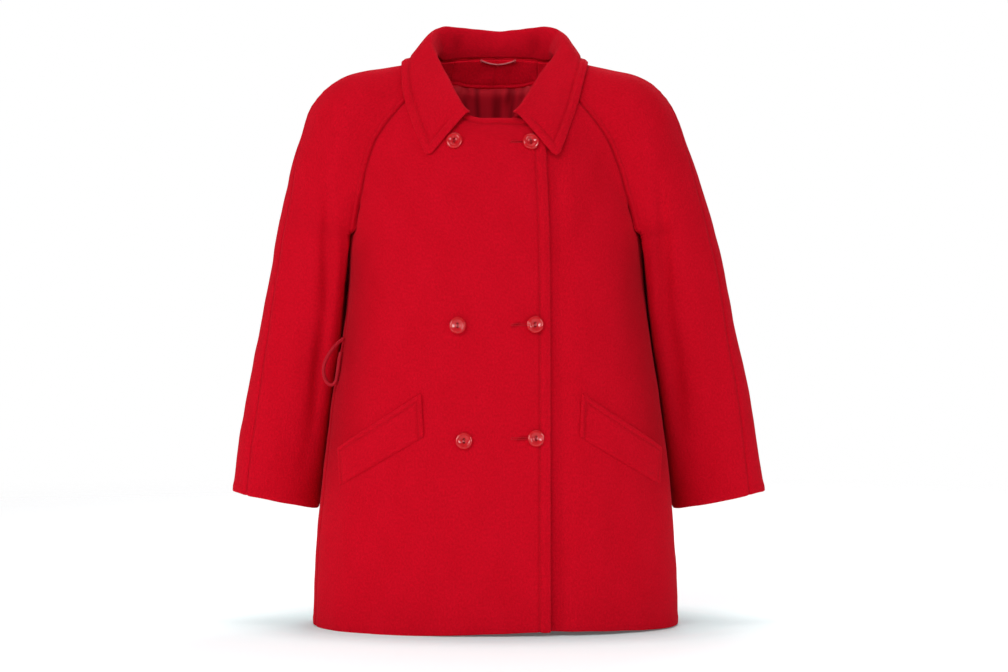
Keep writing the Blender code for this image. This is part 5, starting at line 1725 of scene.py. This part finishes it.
inward = np.zeros(grid.shape[:2])
for x_a, z_a, x_b, z_b, width, depth in LINING_FOLDS.rows:
    line = np.array([(x_a, 0.0, z_a), (x_b, 0.0, z_b)])
    inward += depth * np.exp(-((gap_to(grid * np.array([1.0, 0.0, 1.0]), line) / width) ** 2))
edge_order = np.argsort(facing_edge[:, 0])
edge_height = np.interp(grid[..., 0], facing_edge[edge_order, 0], facing_edge[edge_order, 2])
tuck = ease((edge_height + 0.5 - grid[..., 2]) / LINING_TUCK)
lift_in = np.maximum(1.35 * inward + 0.4 * unevenness(grid, 60, 61) + 0.3, 0.0) * tuck
behind = WALL + 0.15 + LINING_GAP * tuck + lift_in
drift = (crease_lift(grid) * 0.5 * tuck)[..., None]
shown = grid - way * (behind + 0.5 + 0.5 * tuck)[..., None] + way * drift
against = grid - way * behind[..., None] + way * drift
# Painted shade in the hollows between the lining's folds.
lining_shade = 0.85 * np.clip(1 - inward / 1.2, 0, 1) * ease((inward + 1.0) / 1.6)
lining = cloth_shell("satin_lining_back", shown, against, lining_satin, {"low": 1.0}, lining_shade)

# %% [markdown]
# ## The pocket welts
# A welt is a folded strip of the same wool that stands slightly off the front. Its top
# edge and both ends are topstitched, and its lower edge is caught in the pocket's seam.
# It is laid on the front's finished face, so it follows every crease below it.

# %% Lay the welts on the fronts
WELT_LEAN = -3.0
WELT_WALL = 2.4
WELT_INSET = 5.6


def faceted(grid):
    """A search tree over the cells of a grid."""
    rows, columns = grid.shape[:2]
    number = np.arange(rows * columns).reshape(rows, columns)
    corners = (number[:-1, :-1], number[:-1, 1:], number[1:, 1:], number[1:, :-1])
    cells = np.stack([corner.ravel() for corner in corners], axis=1)
    return BVHTree.FromPolygons(grid.reshape(-1, 3).tolist(), cells.tolist())


def ahead_of(tree, across, heights):
    """Points of a front's face straight ahead of these places."""
    starts = [(x, -400.0, z) for x, z in zip(across, heights)]
    return np.array([tuple(tree.ray_cast(start, (0.0, 1.0, 0.0))[0]) for start in starts])


front_trees = {side: faceted(face) for side, face in front_faces.items()}
welts = []
for side, inner_x, inner_top, inner_low, outer_x, outer_top, outer_low in WELTS.rows:
    side = int(side)
    over = np.linspace(0, 1, 84)[:, None]
    down = np.linspace(0, 1, 44)[None]
    across = inner_x + (outer_x - inner_x) * over + WELT_LEAN * down
    top = inner_top + (outer_top - inner_top) * over
    height = top + (inner_low + (outer_low - inner_low) * over - top) * down
    sway = BODY.at(height, "sway")
    shape = across.shape + (3,)
    grid = ahead_of(front_trees[side], (side * across - sway).ravel(), height.ravel()).reshape(shape)
    way = way_out(trunk, grid, 3.0)
    stitched = np.minimum(gap_to(grid, grid[:, 0]), np.minimum(gap_to(grid, grid[0]), gap_to(grid, grid[-1])))
    sewn = gap_to(grid, grid[:, -1])
    lift = stitched_section(stitched, WELT_INSET, grid, 0.6, 0.8) - 2.0 * np.exp(-((sewn / 2.4) ** 2))
    lift += 0.2 * unevenness(grid, 24, 71)
    # Painted shade in the stitched channel and along the sewn lower edge.
    shade = 0.8 * channel_shade(stitched, WELT_INSET) + 0.3 * np.exp(-((sewn / 1.6) ** 2))
    wear = 0.6 * np.exp(-stitched / 1.5)
    thinner = 0.4 + 0.6 * ease(gap_to(grid, grid[-1]) / 34)
    face = grid + way * (0.35 + WELT_WALL * thinner + lift * thinner)[..., None]
    back = grid + way * 0.35
    rounded = {"low": 1.0, "high": 1.0, "start": 1.0, "end": 0.3}
    welts.append(cloth_shell("wool_welt_" + SIDE_NAMES[side], face, back, wool_collar, rounded, shade, wear))
    stitch_lines.append(beside(face, "start", WELT_INSET)[9:-9])
    stitch_lines.append(beside(face, "low", WELT_INSET)[7:])
    stitch_lines.append(beside(face, "high", WELT_INSET)[7:])

# %% [markdown]
# ## Buttons
# Each button is a turned disc with a thick round rim and a hollow middle. Two holes stand
# one above the other in a short slot, and thread runs between them. A lathe makes the
# disc, and the holes and the slot are pressed into its rings, so the mesh stays closed.

# %% Turn a button
BUTTON_RADIUS = 10.75
BUTTON_RISE = 5.0
HOLE_SPREAD = 1.9
HOLE_RADIUS = 1.05
BUTTON_TURNS = 72

BUTTON_SECTION = np.array(
    (
        (0.0, 0.0), (0.80, 0.0), (0.95, 0.10), (1.0, 0.36), (0.975, 0.62), (0.90, 0.84), (0.79, 0.97),
        (0.69, 1.0), (0.60, 0.95), (0.50, 0.82), (0.40, 0.67), (0.30, 0.56), (0.0, 0.51),
    )
)


def button_rings():
    """Rings of a button lying flat, from its back's middle to its front's middle, in millimetres."""
    places = np.concatenate([np.linspace(0, 11, 54), np.linspace(11, 12, 34)[1:]])
    section = spline(BUTTON_SECTION, places)[1:-1]
    section[:, 0] = np.clip(section[:, 0], 0.004, 1.0)
    turns = np.linspace(0, 2 * math.pi, BUTTON_TURNS + 1)[:-1]
    across = BUTTON_RADIUS * section[:, :1] * np.sin(turns)[None]
    up = BUTTON_RADIUS * section[:, :1] * np.cos(turns)[None]
    rise = BUTTON_RISE * section[:, 1:] + 0 * across
    front = (places[1:-1] > 7.5)[:, None]
    slot_gap = np.hypot(across, np.maximum(np.abs(up) - HOLE_SPREAD, 0))
    hole_gap = np.hypot(across, np.abs(up) - HOLE_SPREAD)
    rise -= front * 0.35 * ease((1.7 - slot_gap) / 0.8)
    rise -= front * 1.5 * ease((HOLE_RADIUS + 0.2 - hole_gap) / 0.4)
    # Painted shade in the slot and in the two holes.
    shade = np.maximum(0.55 * ease((2.1 - slot_gap) / 0.8), ease((HOLE_RADIUS + 0.25 - hole_gap) / 0.4))
    shade = front * shade
    wear = np.exp(-(((section[:, :1] - 0.67) / 0.09) ** 2)) * front + 0 * across
    return np.stack([across, up, rise], axis=2), shade, wear


def lathe_faces(rings, turns):
    """Cells between rings, and a fan to a pole at each end."""
    number = 1 + np.arange(rings * turns).reshape(rings, turns)
    after = np.roll(number, -1, axis=1)
    cells = np.stack([number[:-1], after[:-1], after[1:], number[1:]], axis=2).reshape(-1, 4).tolist()
    last = rings * turns + 1
    cells += [[0, b, a] for a, b in zip(number[0], after[0])]
    cells += [[last, a, b] for a, b in zip(number[-1], after[-1])]
    return [[int(corner) for corner in cell] for cell in cells]


def turned_out(piece):
    """Turns a closed piece's faces outward."""
    volume = sum(face.area * face.normal.dot(face.center) for face in piece.data.polygons)
    if volume < 0:
        piece.data.flip_normals()


# %% [markdown]
# Each button sits where its solid does, turned to face straight out of the cloth.

# %% Set the buttons on the upper front
ring_points, ring_shade, ring_wear = button_rings()
button_faces = lathe_faces(len(ring_points), BUTTON_TURNS)
button_frames = []
buttons = []
for column, row, across, height in BUTTONS.rows:
    name = ("right", "left")[int(column)] + "_" + ("top", "middle", "low")[int(row)]
    low, high = (np.array(corner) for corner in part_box("button_" + name))
    centre = (low + high) / 2
    lean = float(BODY.at(height, "sway"))
    spot = np.array([[centre[0] / MM - lean, centre[1] / MM, centre[2] / MM + SHOULDER_HEIGHT]])
    out = way_out(trunk, spot, 8.0)[0]
    up = np.array([0.0, 0.0, 1.0]) - out * out[2]
    up /= np.linalg.norm(up)
    aside = np.cross(up, out)
    base = centre - out * BUTTON_RISE / 2 * MM
    turned = base + (ring_points @ np.array([aside, up, out])) * MM
    poles = [base, base + out * (ring_points[-1, :, 2].mean()) * MM]
    points = np.concatenate([poles[:1], turned.reshape(-1, 3), poles[1:]])
    # The front pole, in the slot, gets painted shade too.
    shade = np.concatenate([[0.0], ring_shade.ravel(), [0.55]])
    wear = np.concatenate([[0.0], ring_wear.ravel(), [0.0]])
    piece = mesh_piece("polyester_button_" + name, points, button_faces, button_polyester, None, shade, wear)
    turned_out(piece)
    buttons.append((piece, "button_" + name))
    button_frames.append((base, aside, up, out))
print("buttons:", len(buttons), "with", len(button_faces), "faces each")

# %% [markdown]
# ## Cords
# The belt loop on the right side seam and the hanger loop in the neck are twisted cord.
# A round section with three lobes is swept along the path while it turns, which gives the
# ridges of the plies for very few points. The paths are the same as in the solids.

# %% Sweep a twisted cord
def swept(points, radius, finish_name, finish, plies=3, lay=7.0, sides=18, lobe=0.16):
    """A closed cord along a line of points in form millimetres."""
    run = length_along(points)
    count = max(int(run[-1] / 0.55), 8)
    centres = spline(points, np.interp(np.linspace(0, run[-1], count), run, np.arange(len(points))))
    along = np.gradient(centres, axis=0)
    along /= np.linalg.norm(along, axis=1, keepdims=True)
    side_way = np.cross(along[0], (0.13, 0.21, 0.97))
    rings = []
    angles = np.linspace(0, 2 * math.pi, sides + 1)[:-1]
    for step, (centre, way_on) in enumerate(zip(centres, along)):
        side_way = side_way - way_on * np.dot(side_way, way_on)
        side_way = side_way / np.linalg.norm(side_way)
        other_way = np.cross(way_on, side_way)
        twist = 2 * math.pi * step / (count - 1) * run[-1] / lay
        width = radius * (1 - lobe + lobe * np.abs(np.cos((angles - twist) * plies / 2)) * 1.6)
        width = np.minimum(width, radius * 1.12)
        ring = (width * np.cos(angles))[:, None] * side_way
        rings.append(centre + ring + (width * np.sin(angles))[:, None] * other_way)
    rings = np.array(rings)
    points_out = np.concatenate([centres[:1], rings.reshape(-1, 3), centres[-1:]])
    piece = mesh_piece(finish_name, leaning(points_out), lathe_faces(count, sides), finish)
    turned_out(piece)
    print(f"{finish_name}: {run[-1]:.0f} mm long, {count} rings")
    return piece


# %% [markdown]
# Both loops are sewn on at their ends and their paths are given, because a simulated cord
# settles where it likes. The belt loop's points are then pushed clear of the coat, and its
# ends brought onto the cloth.

# %% The belt loop and the hanger loop
CORD_CLEAR = 2.9
CORD_SEAT = 2.3
CORD_POINTS = 31


def pushed_clear(points, reach):
    """Push points out until they stand this far off the coat."""
    for _ in range(12):
        near, way = clearance(points)
        off_body = np.maximum(reach - body_distance(points), 0.0)
        body_way = slope(trunk, points)
        points = points + way * np.maximum(reach - near, 0.0)[:, None] + body_way * off_body[:, None]
    return points


loop_line = np.stack([BELT_LOOP.column(name) for name in ("across", "depth", "height")], axis=1)
loop_line *= (-1, 1, 1)
loop_line = pushed_clear(even(loop_line, np.linspace(0, 1, CORD_POINTS)), CORD_CLEAR)
for _ in range(2):
    loop_line[1:-1] = (loop_line[:-2] + 2 * loop_line[1:-1] + loop_line[2:]) / 4
    loop_line = pushed_clear(loop_line, CORD_CLEAR)
panel_tree = faceted(panels[(-1, -1)])
for end in (0, 1, -2, -1):
    near = np.array(panel_tree.find_nearest(loop_line[end].tolist())[0])
    off = loop_line[end] - near
    loop_line[end] = near + off / np.linalg.norm(off) * CORD_SEAT
HANGER_HALF = 24.0
HANGER_MIDDLE = 3.0
HANGER_HEIGHT = 739.0
HANGER_SAG = 5.0
HANGER_INSET = 7.0

belt_loop = swept(loop_line, 2.35, "cord_belt_loop", loop_cord)
across = np.linspace(-HANGER_HALF, HANGER_HALF, 25)
height = HANGER_HEIGHT - HANGER_SAG * (1 - (across / HANGER_HALF) ** 2)
hanger_path = on_trunk(across + HANGER_MIDDLE, height, 1)
hanger_path = hanger_path - way_out(trunk, hanger_path) * HANGER_INSET
hanger_loop = swept(hanger_path, 1.05, "cord_hanger_loop", hanger_cord, 2, 4.0, 12)

# %% [markdown]
# Thread runs from hole to hole over the middle of each button, in raised arches.

# %% The thread in the buttons
def thread_line(frame_here, across, lift):
    base, aside, up, out = frame_here
    turns = np.linspace(0, math.pi, 9)
    rise = HOLE_SPREAD * np.cos(turns)
    height = 0.7 + (1.25 + lift) * np.sin(turns) ** 0.6
    return base / MM + aside * across + up * rise[:, None] + out * height[:, None]


def strand(line, radius, sides=7):
    """A thin round strand along a line of points."""
    along = np.gradient(line, axis=0)
    along /= np.linalg.norm(along, axis=1, keepdims=True)
    side_way = np.cross(along, (0.9, 0.1, 0.05))
    side_way /= np.linalg.norm(side_way, axis=1, keepdims=True)
    other_way = np.cross(along, side_way)
    turns = np.linspace(0, 2 * math.pi, sides + 1)[:-1]
    rings = [line + radius * (side_way * math.cos(turn) + other_way * math.sin(turn)) for turn in turns]
    rings = np.stack(rings, axis=1).reshape(-1, 3)
    return np.concatenate([line[:1], rings, line[-1:]]), lathe_faces(len(line), sides)


thread_points = []
thread_faces = []
for frame_here in button_frames:
    for across, lift in ((-0.55, 0.0), (0.05, 0.25), (0.6, 0.05)):
        points, faces = strand(thread_line(frame_here, across, lift), 0.33)
        offset = sum(len(part) for part in thread_points)
        thread_points.append(points)
        thread_faces += [[corner + offset for corner in face] for face in faces]
button_thread = mesh_piece("button_thread", np.concatenate(thread_points) * MM, thread_faces, sewing_thread)
turned_out(button_thread)
print("strands of thread:", len(thread_points))

# %% [markdown]
# ## Stitches
# More than a thousand stitches follow the stitched lines, so Geometry Nodes set them. The
# tree resamples each path at the pitch, puts one long bead of thread at each point, turns
# it along the path and squares it to the cloth. The same tree makes the close overcast
# stitches of the buttonholes, by beads that are longer across the path than along it.

# %% Build the stitching tree
def stitching_tree():
    tree = bpy.data.node_groups.new("stitches_along_paths", "GeometryNodeTree")
    tree.is_modifier = True
    sockets = {}
    for label, kind in (
        ("Paths", "Geometry"), ("Pitch", "Float"), ("Along", "Float"),
        ("Across", "Float"), ("Thickness", "Float"),
        ("Unevenness", "Float"), ("Seed", "Int"), ("Thread", "Material"),
    ):
        made = tree.interface.new_socket(label, in_out="INPUT", socket_type="NodeSocket" + kind)
        sockets[label] = made.identifier
    tree.interface.new_socket("Stitches", in_out="OUTPUT", socket_type="NodeSocketGeometry")

    def node(kind, settings=None, inputs=None):
        made = tree.nodes.new(kind)
        for key, value in (settings or {}).items():
            setattr(made, key, value)
        for key, value in (inputs or {}).items():
            if isinstance(value, bpy.types.NodeSocket):
                tree.links.new(value, made.inputs[key])
            else:
                made.inputs[key].default_value = value
        return made

    given = node("NodeGroupInput").outputs
    paths = node("GeometryNodeMeshToCurve", None, {"Mesh": given["Paths"]})
    spaced = node(
        "GeometryNodeResampleCurve", {"mode": "LENGTH"}, {"Curve": paths.outputs[0], "Length": given["Pitch"]}
    )
    bead = node("GeometryNodeMeshUVSphere", None, {"Segments": 8, "Rings": 5, "Radius": 0.5})
    tangent = node("GeometryNodeInputTangent")
    cloth_way = node("GeometryNodeInputNamedAttribute", {"data_type": "FLOAT_VECTOR"}, {"Name": "cloth_way"})
    along = node("FunctionNodeAlignRotationToVector", {"axis": "X"}, {"Vector": tangent.outputs[0]})
    settings = {"axis": "Z", "pivot_axis": "X"}
    square = node(
        "FunctionNodeAlignRotationToVector", settings,
        {"Rotation": along.outputs[0], "Vector": cloth_way.outputs[0]},
    )
    change = node("FunctionNodeRandomValue", {"data_type": "FLOAT"}, {"Seed": given["Seed"]})
    least = node("ShaderNodeMath", {"operation": "SUBTRACT"}, {0: 1.0, 1: given["Unevenness"]})
    tree.links.new(least.outputs[0], change.inputs[2])
    change.inputs[3].default_value = 1.0
    size = node("ShaderNodeCombineXYZ", None, {0: given["Along"], 1: given["Across"], 2: given["Thickness"]})
    scaled = node(
        "ShaderNodeVectorMath", {"operation": "SCALE"}, {0: size.outputs[0], "Scale": change.outputs[1]}
    )
    set_out = node(
        "GeometryNodeInstanceOnPoints",
        None,
        {
            "Points": spaced.outputs[0], "Instance": bead.outputs[0],
            "Rotation": square.outputs[0], "Scale": scaled.outputs[0],
        },
    )
    real = node("GeometryNodeRealizeInstances", None, {"Geometry": set_out.outputs[0]})
    smooth = node("GeometryNodeSetShadeSmooth", None, {"Geometry": real.outputs[0]})
    dressed = {"Geometry": smooth.outputs[0], "Material": given["Thread"]}
    thread = node("GeometryNodeSetMaterial", None, dressed)
    node("NodeGroupOutput", None, {"Stitches": thread.outputs[0]})
    return tree, sockets


stitch_tree, stitch_sockets = stitching_tree()
print("stitching tree with inputs:", ", ".join(stitch_sockets))


# %% Sew along paths
def sewn(name, lines, sink, sizes, finish):
    """Stitches along lines in form millimetres, made plain mesh."""
    points = np.concatenate(lines)
    ways = clearance(points)[1]
    ends = np.cumsum([len(line) for line in lines])
    edges = [(index, index + 1) for index in range(len(points) - 1) if index + 1 not in ends]
    mesh = bpy.data.meshes.new(name + "_paths")
    mesh.from_pydata(leaning(points - ways * sink).tolist(), edges, [])
    cloth_way = mesh.attributes.new("cloth_way", "FLOAT_VECTOR", "POINT")
    cloth_way.data.foreach_set("vector", ways.astype(np.float32).ravel())
    path = bpy.data.objects.new(name + "_paths", mesh)
    bpy.context.scene.collection.objects.link(path)
    sewing = path.modifiers.new("stitches", "NODES")
    sewing.node_group = stitch_tree
    for label, value in sizes.items():
        sewing[stitch_sockets[label]] = value
    sewing[stitch_sockets["Thread"]] = finish
    made = bpy.data.meshes.new_from_object(path.evaluated_get(bpy.context.evaluated_depsgraph_get()))
    made.name = name
    path.modifiers.remove(sewing)
    bpy.data.objects.remove(path, do_unlink=True)
    # The stitches get empty attributes for painted shade and wear.
    for label in ("painted_shade", "rubbed"):
        made.attributes.new(label, "FLOAT", "POINT")
    piece = bpy.data.objects.new(name, made)
    bpy.context.scene.collection.objects.link(piece)
    print(f"{name}: {len(lines)} lines, {len(made.polygons)} faces")
    return piece


STITCH_KEYS = ("Pitch", "Along", "Across", "Thickness", "Unevenness", "Seed")
TOPSTITCH = dict(zip(STITCH_KEYS, (0.0036, 0.0030, 0.00044, 0.0004, 0.14, 3)))
OVERCAST = dict(zip(STITCH_KEYS, (0.00070, 0.00060, 0.0015, 0.0005, 0.12, 5)))
BAR_TACK = dict(zip(STITCH_KEYS, (0.0008, 0.0007, 0.0030, 0.0007, 0.16, 7)))

topstitching = sewn("topstitching", stitch_lines, 0.12, TOPSTITCH, sewing_thread)

# %% [markdown]
# Close thread covers the edge of a buttonhole, and bar tacks hold the loops. The same
# tree sews both, with other lengths and widths.

# %% Overcast the buttonholes and tack the loops
slit_lines = []
for height, end in BUTTONHOLE_SLITS:
    lean = float(BODY.at(height, "sway"))
    turns = np.linspace(math.pi / 2, 3 * math.pi / 2, 7)
    start = BUTTONHOLE_START - lean
    nose = np.stack([start + 1.05 * np.cos(turns), height + 1.05 * np.sin(turns)], axis=1)
    upper = np.stack([np.linspace(end - lean, start, 18), np.full(18, height + 1.05)], axis=1)
    lower = np.stack([np.linspace(start, end - lean, 18), np.full(18, height - 1.05)], axis=1)
    outline = np.concatenate([upper, nose[1:-1], lower])
    slit_lines.append(ahead_of(front_trees[-1], outline[:, 0], outline[:, 1]))
overcast = sewn("buttonhole_overcast", slit_lines, 0.0, OVERCAST, sewing_thread)

tack_lines = []
for place, half in ((0.6, 2.2), (12.0, 1.4), (23.4, 2.2)):
    there = spline(hanger_path, np.array([place]))[0] - clearance(hanger_path)[1][int(place)] * 1.1
    tack_lines.append(np.array([there + (0.0, 0.0, rise) for rise in np.linspace(-half, half, 6)]))
tacks = sewn("hanger_loop_tacks", tack_lines, 0.0, BAR_TACK, pale_thread)
loop_ends = []
for place in (loop_line[1], loop_line[-2]):
    out = clearance(place[None])[1][0]
    loop_ends.append(np.array([place + out * 1.4 + (0.0, 0.0, rise) for rise in np.linspace(-2.4, 2.4, 6)]))
loop_tacks = sewn("belt_loop_tacks", loop_ends, 0.0, BAR_TACK, sewing_thread)

# %% [markdown]
# ## What each piece stands for
# Every piece rides on the coat's one body, and the solid it replaces is hidden.


def declare(piece, node, rests_on=()):
    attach(piece, "root")
    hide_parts(node)


for (side, facing), piece in body_cloth.items():
    node = ("front_" if facing < 0 else "back_") + SIDE_NAMES[side]
    declare(piece, node)
for (side, facing), piece in sleeve_cloth.items():
    node = "sleeve_" + ("front_" if facing < 0 else "back_") + SIDE_NAMES[side]
    declare(piece, node)
declare(collar, "collar", ("wool_back_right", "wool_back_left"))
for piece, node, cut in zip(
    facing_cloth,
    ("neck_facing", "side_facing_right", "side_facing_left"),
    ((0.12, 0.04, 0.0046), (0.095, 0.033, 0.0026), (0.095, 0.033, 0.0025)),
):
    declare(piece, node)
declare(lining, "lining_back")
for piece, name in zip(welts, ("right", "left")):
    declare(piece, "pocket_welt_" + name, ("wool_front_" + name,))
for piece, node in buttons:
    declare(piece, node)
declare(belt_loop, "belt_loop")
declare(hanger_loop, "hanger_loop")
for piece in (topstitching, overcast, tacks, loop_tacks, button_thread):
    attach(piece, "root")

# %% [markdown]
# ## The studio
# The coat stands clear on a white floor. The floor glows faintly and less near the coat,
# which paints a shadow under the hem, and near the coat it is tinted cyan, which paints out
# the red light bounced from the coat. The floor is a disc whose edge fades out, so it
# melts into the white air and no line shows behind the coat from any side. Soft boxes
# light it: a large one high in front, a tall strip on each side that gives the buttons
# their bright crescents, one above, and one behind that makes the pale fuzz at the outline.

# %% The floor
FLOOR_HEIGHT = -0.7015
FLOOR_REACH = 3.4
FLOOR_RINGS = 12
FLOOR_TURNS = 64


def floor_finish():
    look = Look("floor_white_painted_shadow")
    place = look.node("TexCoord", None, None, 3)
    specks = look.noise(place, 3.0, 3.0, 0.5)
    colour = look.mixed((specks * 0.5).clipped(), (0.95, 0.95, 0.95, 1.0), (0.92, 0.92, 0.925, 1.0))
    reach = look.node("VectorMath", {"operation": "LENGTH"}, {0: look.scaled(place, (1.0, 1.0, 0.0))}, 1)
    under = look.node("VectorMath", {"operation": "LENGTH"}, {0: look.scaled(place, (3.8, 5.5, 0.0))}, 1)
    # Near the coat the floor is tinted cyan, which paints out the red light bounced from the coat.
    colour = look.mixed((2.0 - under).clipped(), colour, (0.76, 0.96, 0.96, 1.0))
    fading = ((FLOOR_REACH - 0.2 - reach) / (FLOOR_REACH - 1.3)).clipped()
    look.set(Base_Color=colour, Roughness=0.62 + specks * 0.1, Alpha=fading * fading * (3.0 - 2.0 * fading))
    # The floor's glow is dimmer near the coat, which paints a contact shadow under the hem.
    glow = look.mixed(((under - 0.95) * 2.2).clipped(), (0.22, 0.22, 0.22, 1.0), (1.0, 1.0, 1.0, 1.0))
    look.set(Emission_Color=glow)
    look.shader.inputs["Emission Strength"].default_value = 0.30
    look.shader.inputs["Specular IOR Level"].default_value = 0.1
    return look.material


ring_reach = FLOOR_REACH * np.linspace(0, 1, FLOOR_RINGS + 1)[1:, None]
ring_turns = np.linspace(0, 2 * math.pi, FLOOR_TURNS + 1)[:-1][None]
floor_rings = np.stack(
    [ring_reach * np.cos(ring_turns), ring_reach * np.sin(ring_turns), 0 * ring_reach * ring_turns], axis=2
)
floor_points = np.concatenate([[(0.0, 0.0, 0.0)], floor_rings.reshape(-1, 3)]) + (0.0, 0.0, FLOOR_HEIGHT)
floor_cells = [cell for cell in lathe_faces(FLOOR_RINGS, FLOOR_TURNS) if max(cell) < len(floor_points)]
floor = mesh_piece("studio_floor", floor_points, floor_cells, floor_finish())
if floor.data.polygons[0].normal.z < 0:
    floor.data.flip_normals()


# %% [markdown]
# Large soft boxes light the coat, as in a studio. Two panels are only mirrored and give
# no other light.

# %% The lights
def soft_box(name, place, aim, size, power, colour=(1.0, 1.0, 1.0)):
    data = bpy.data.lights.new(name, "AREA")
    data.shape = "RECTANGLE"
    data.size, data.size_y = size
    data.energy = power
    data.color = colour
    light = bpy.data.objects.new(name, data)
    light.location = place
    away = np.array(place) - np.array(aim)
    flat = math.hypot(away[0], away[1])
    light.rotation_euler = (math.atan2(flat, away[2]), 0.0, math.atan2(away[0], -away[1]))
    bpy.context.scene.collection.objects.link(light)
    return light


front_box = soft_box("front_box", (-0.9, -2.5, 1.7), (0.0, 0.0, -0.3), (2.2, 1.7), 38)
soft_box("left_box", (-2.0, -1.3, 0.4), (0.0, 0.0, -0.35), (0.4, 1.5), 9)
soft_box("right_box", (2.0, -1.3, 0.4), (0.0, 0.0, -0.35), (0.4, 1.5), 6)
soft_box("top_box", (0.0, 0.5, 2.3), (0.0, 0.0, -0.2), (2.2, 1.6), 20)
soft_box("back_box", (0.7, 2.5, 1.6), (0.0, 0.0, -0.3), (1.6, 1.2), 34)

# Two broad panels are only there to be mirrored in what is polished, and the box in front isn't.
for name, aside in (("left_gloss", -1.9), ("right_gloss", 1.9)):
    panel = soft_box(name, (aside, -1.7, 0.25), (0.0, 0.0, -0.3), (0.55, 1.5), 44)
    panel.visible_diffuse = False
front_box.visible_glossy = False

world = bpy.data.worlds.new("studio_air")
world.use_nodes = True
air = world.node_tree
glow = air.nodes["Background"]
glow.inputs["Color"].default_value = (0.95, 0.96, 1.0, 1.0)
glow.inputs["Strength"].default_value = 0.34
white = air.nodes.new("ShaderNodeBackground")
white.inputs["Color"].default_value = (1.0, 1.0, 1.0, 1.0)
seen = air.nodes.new("ShaderNodeLightPath")
either = air.nodes.new("ShaderNodeMixShader")
air.links.new(seen.outputs["Is Camera Ray"], either.inputs[0])
air.links.new(glow.outputs[0], either.inputs[1])
air.links.new(white.outputs[0], either.inputs[2])
air.links.new(either.outputs[0], air.nodes["World Output"].inputs["Surface"])
bpy.context.scene.world = world
bpy.context.scene.view_settings.view_transform = "Standard"
print("lights set")

# %% [markdown]
# ## The end
# The finished model may stand only a little proud of the solids.

# %% Finish
import json
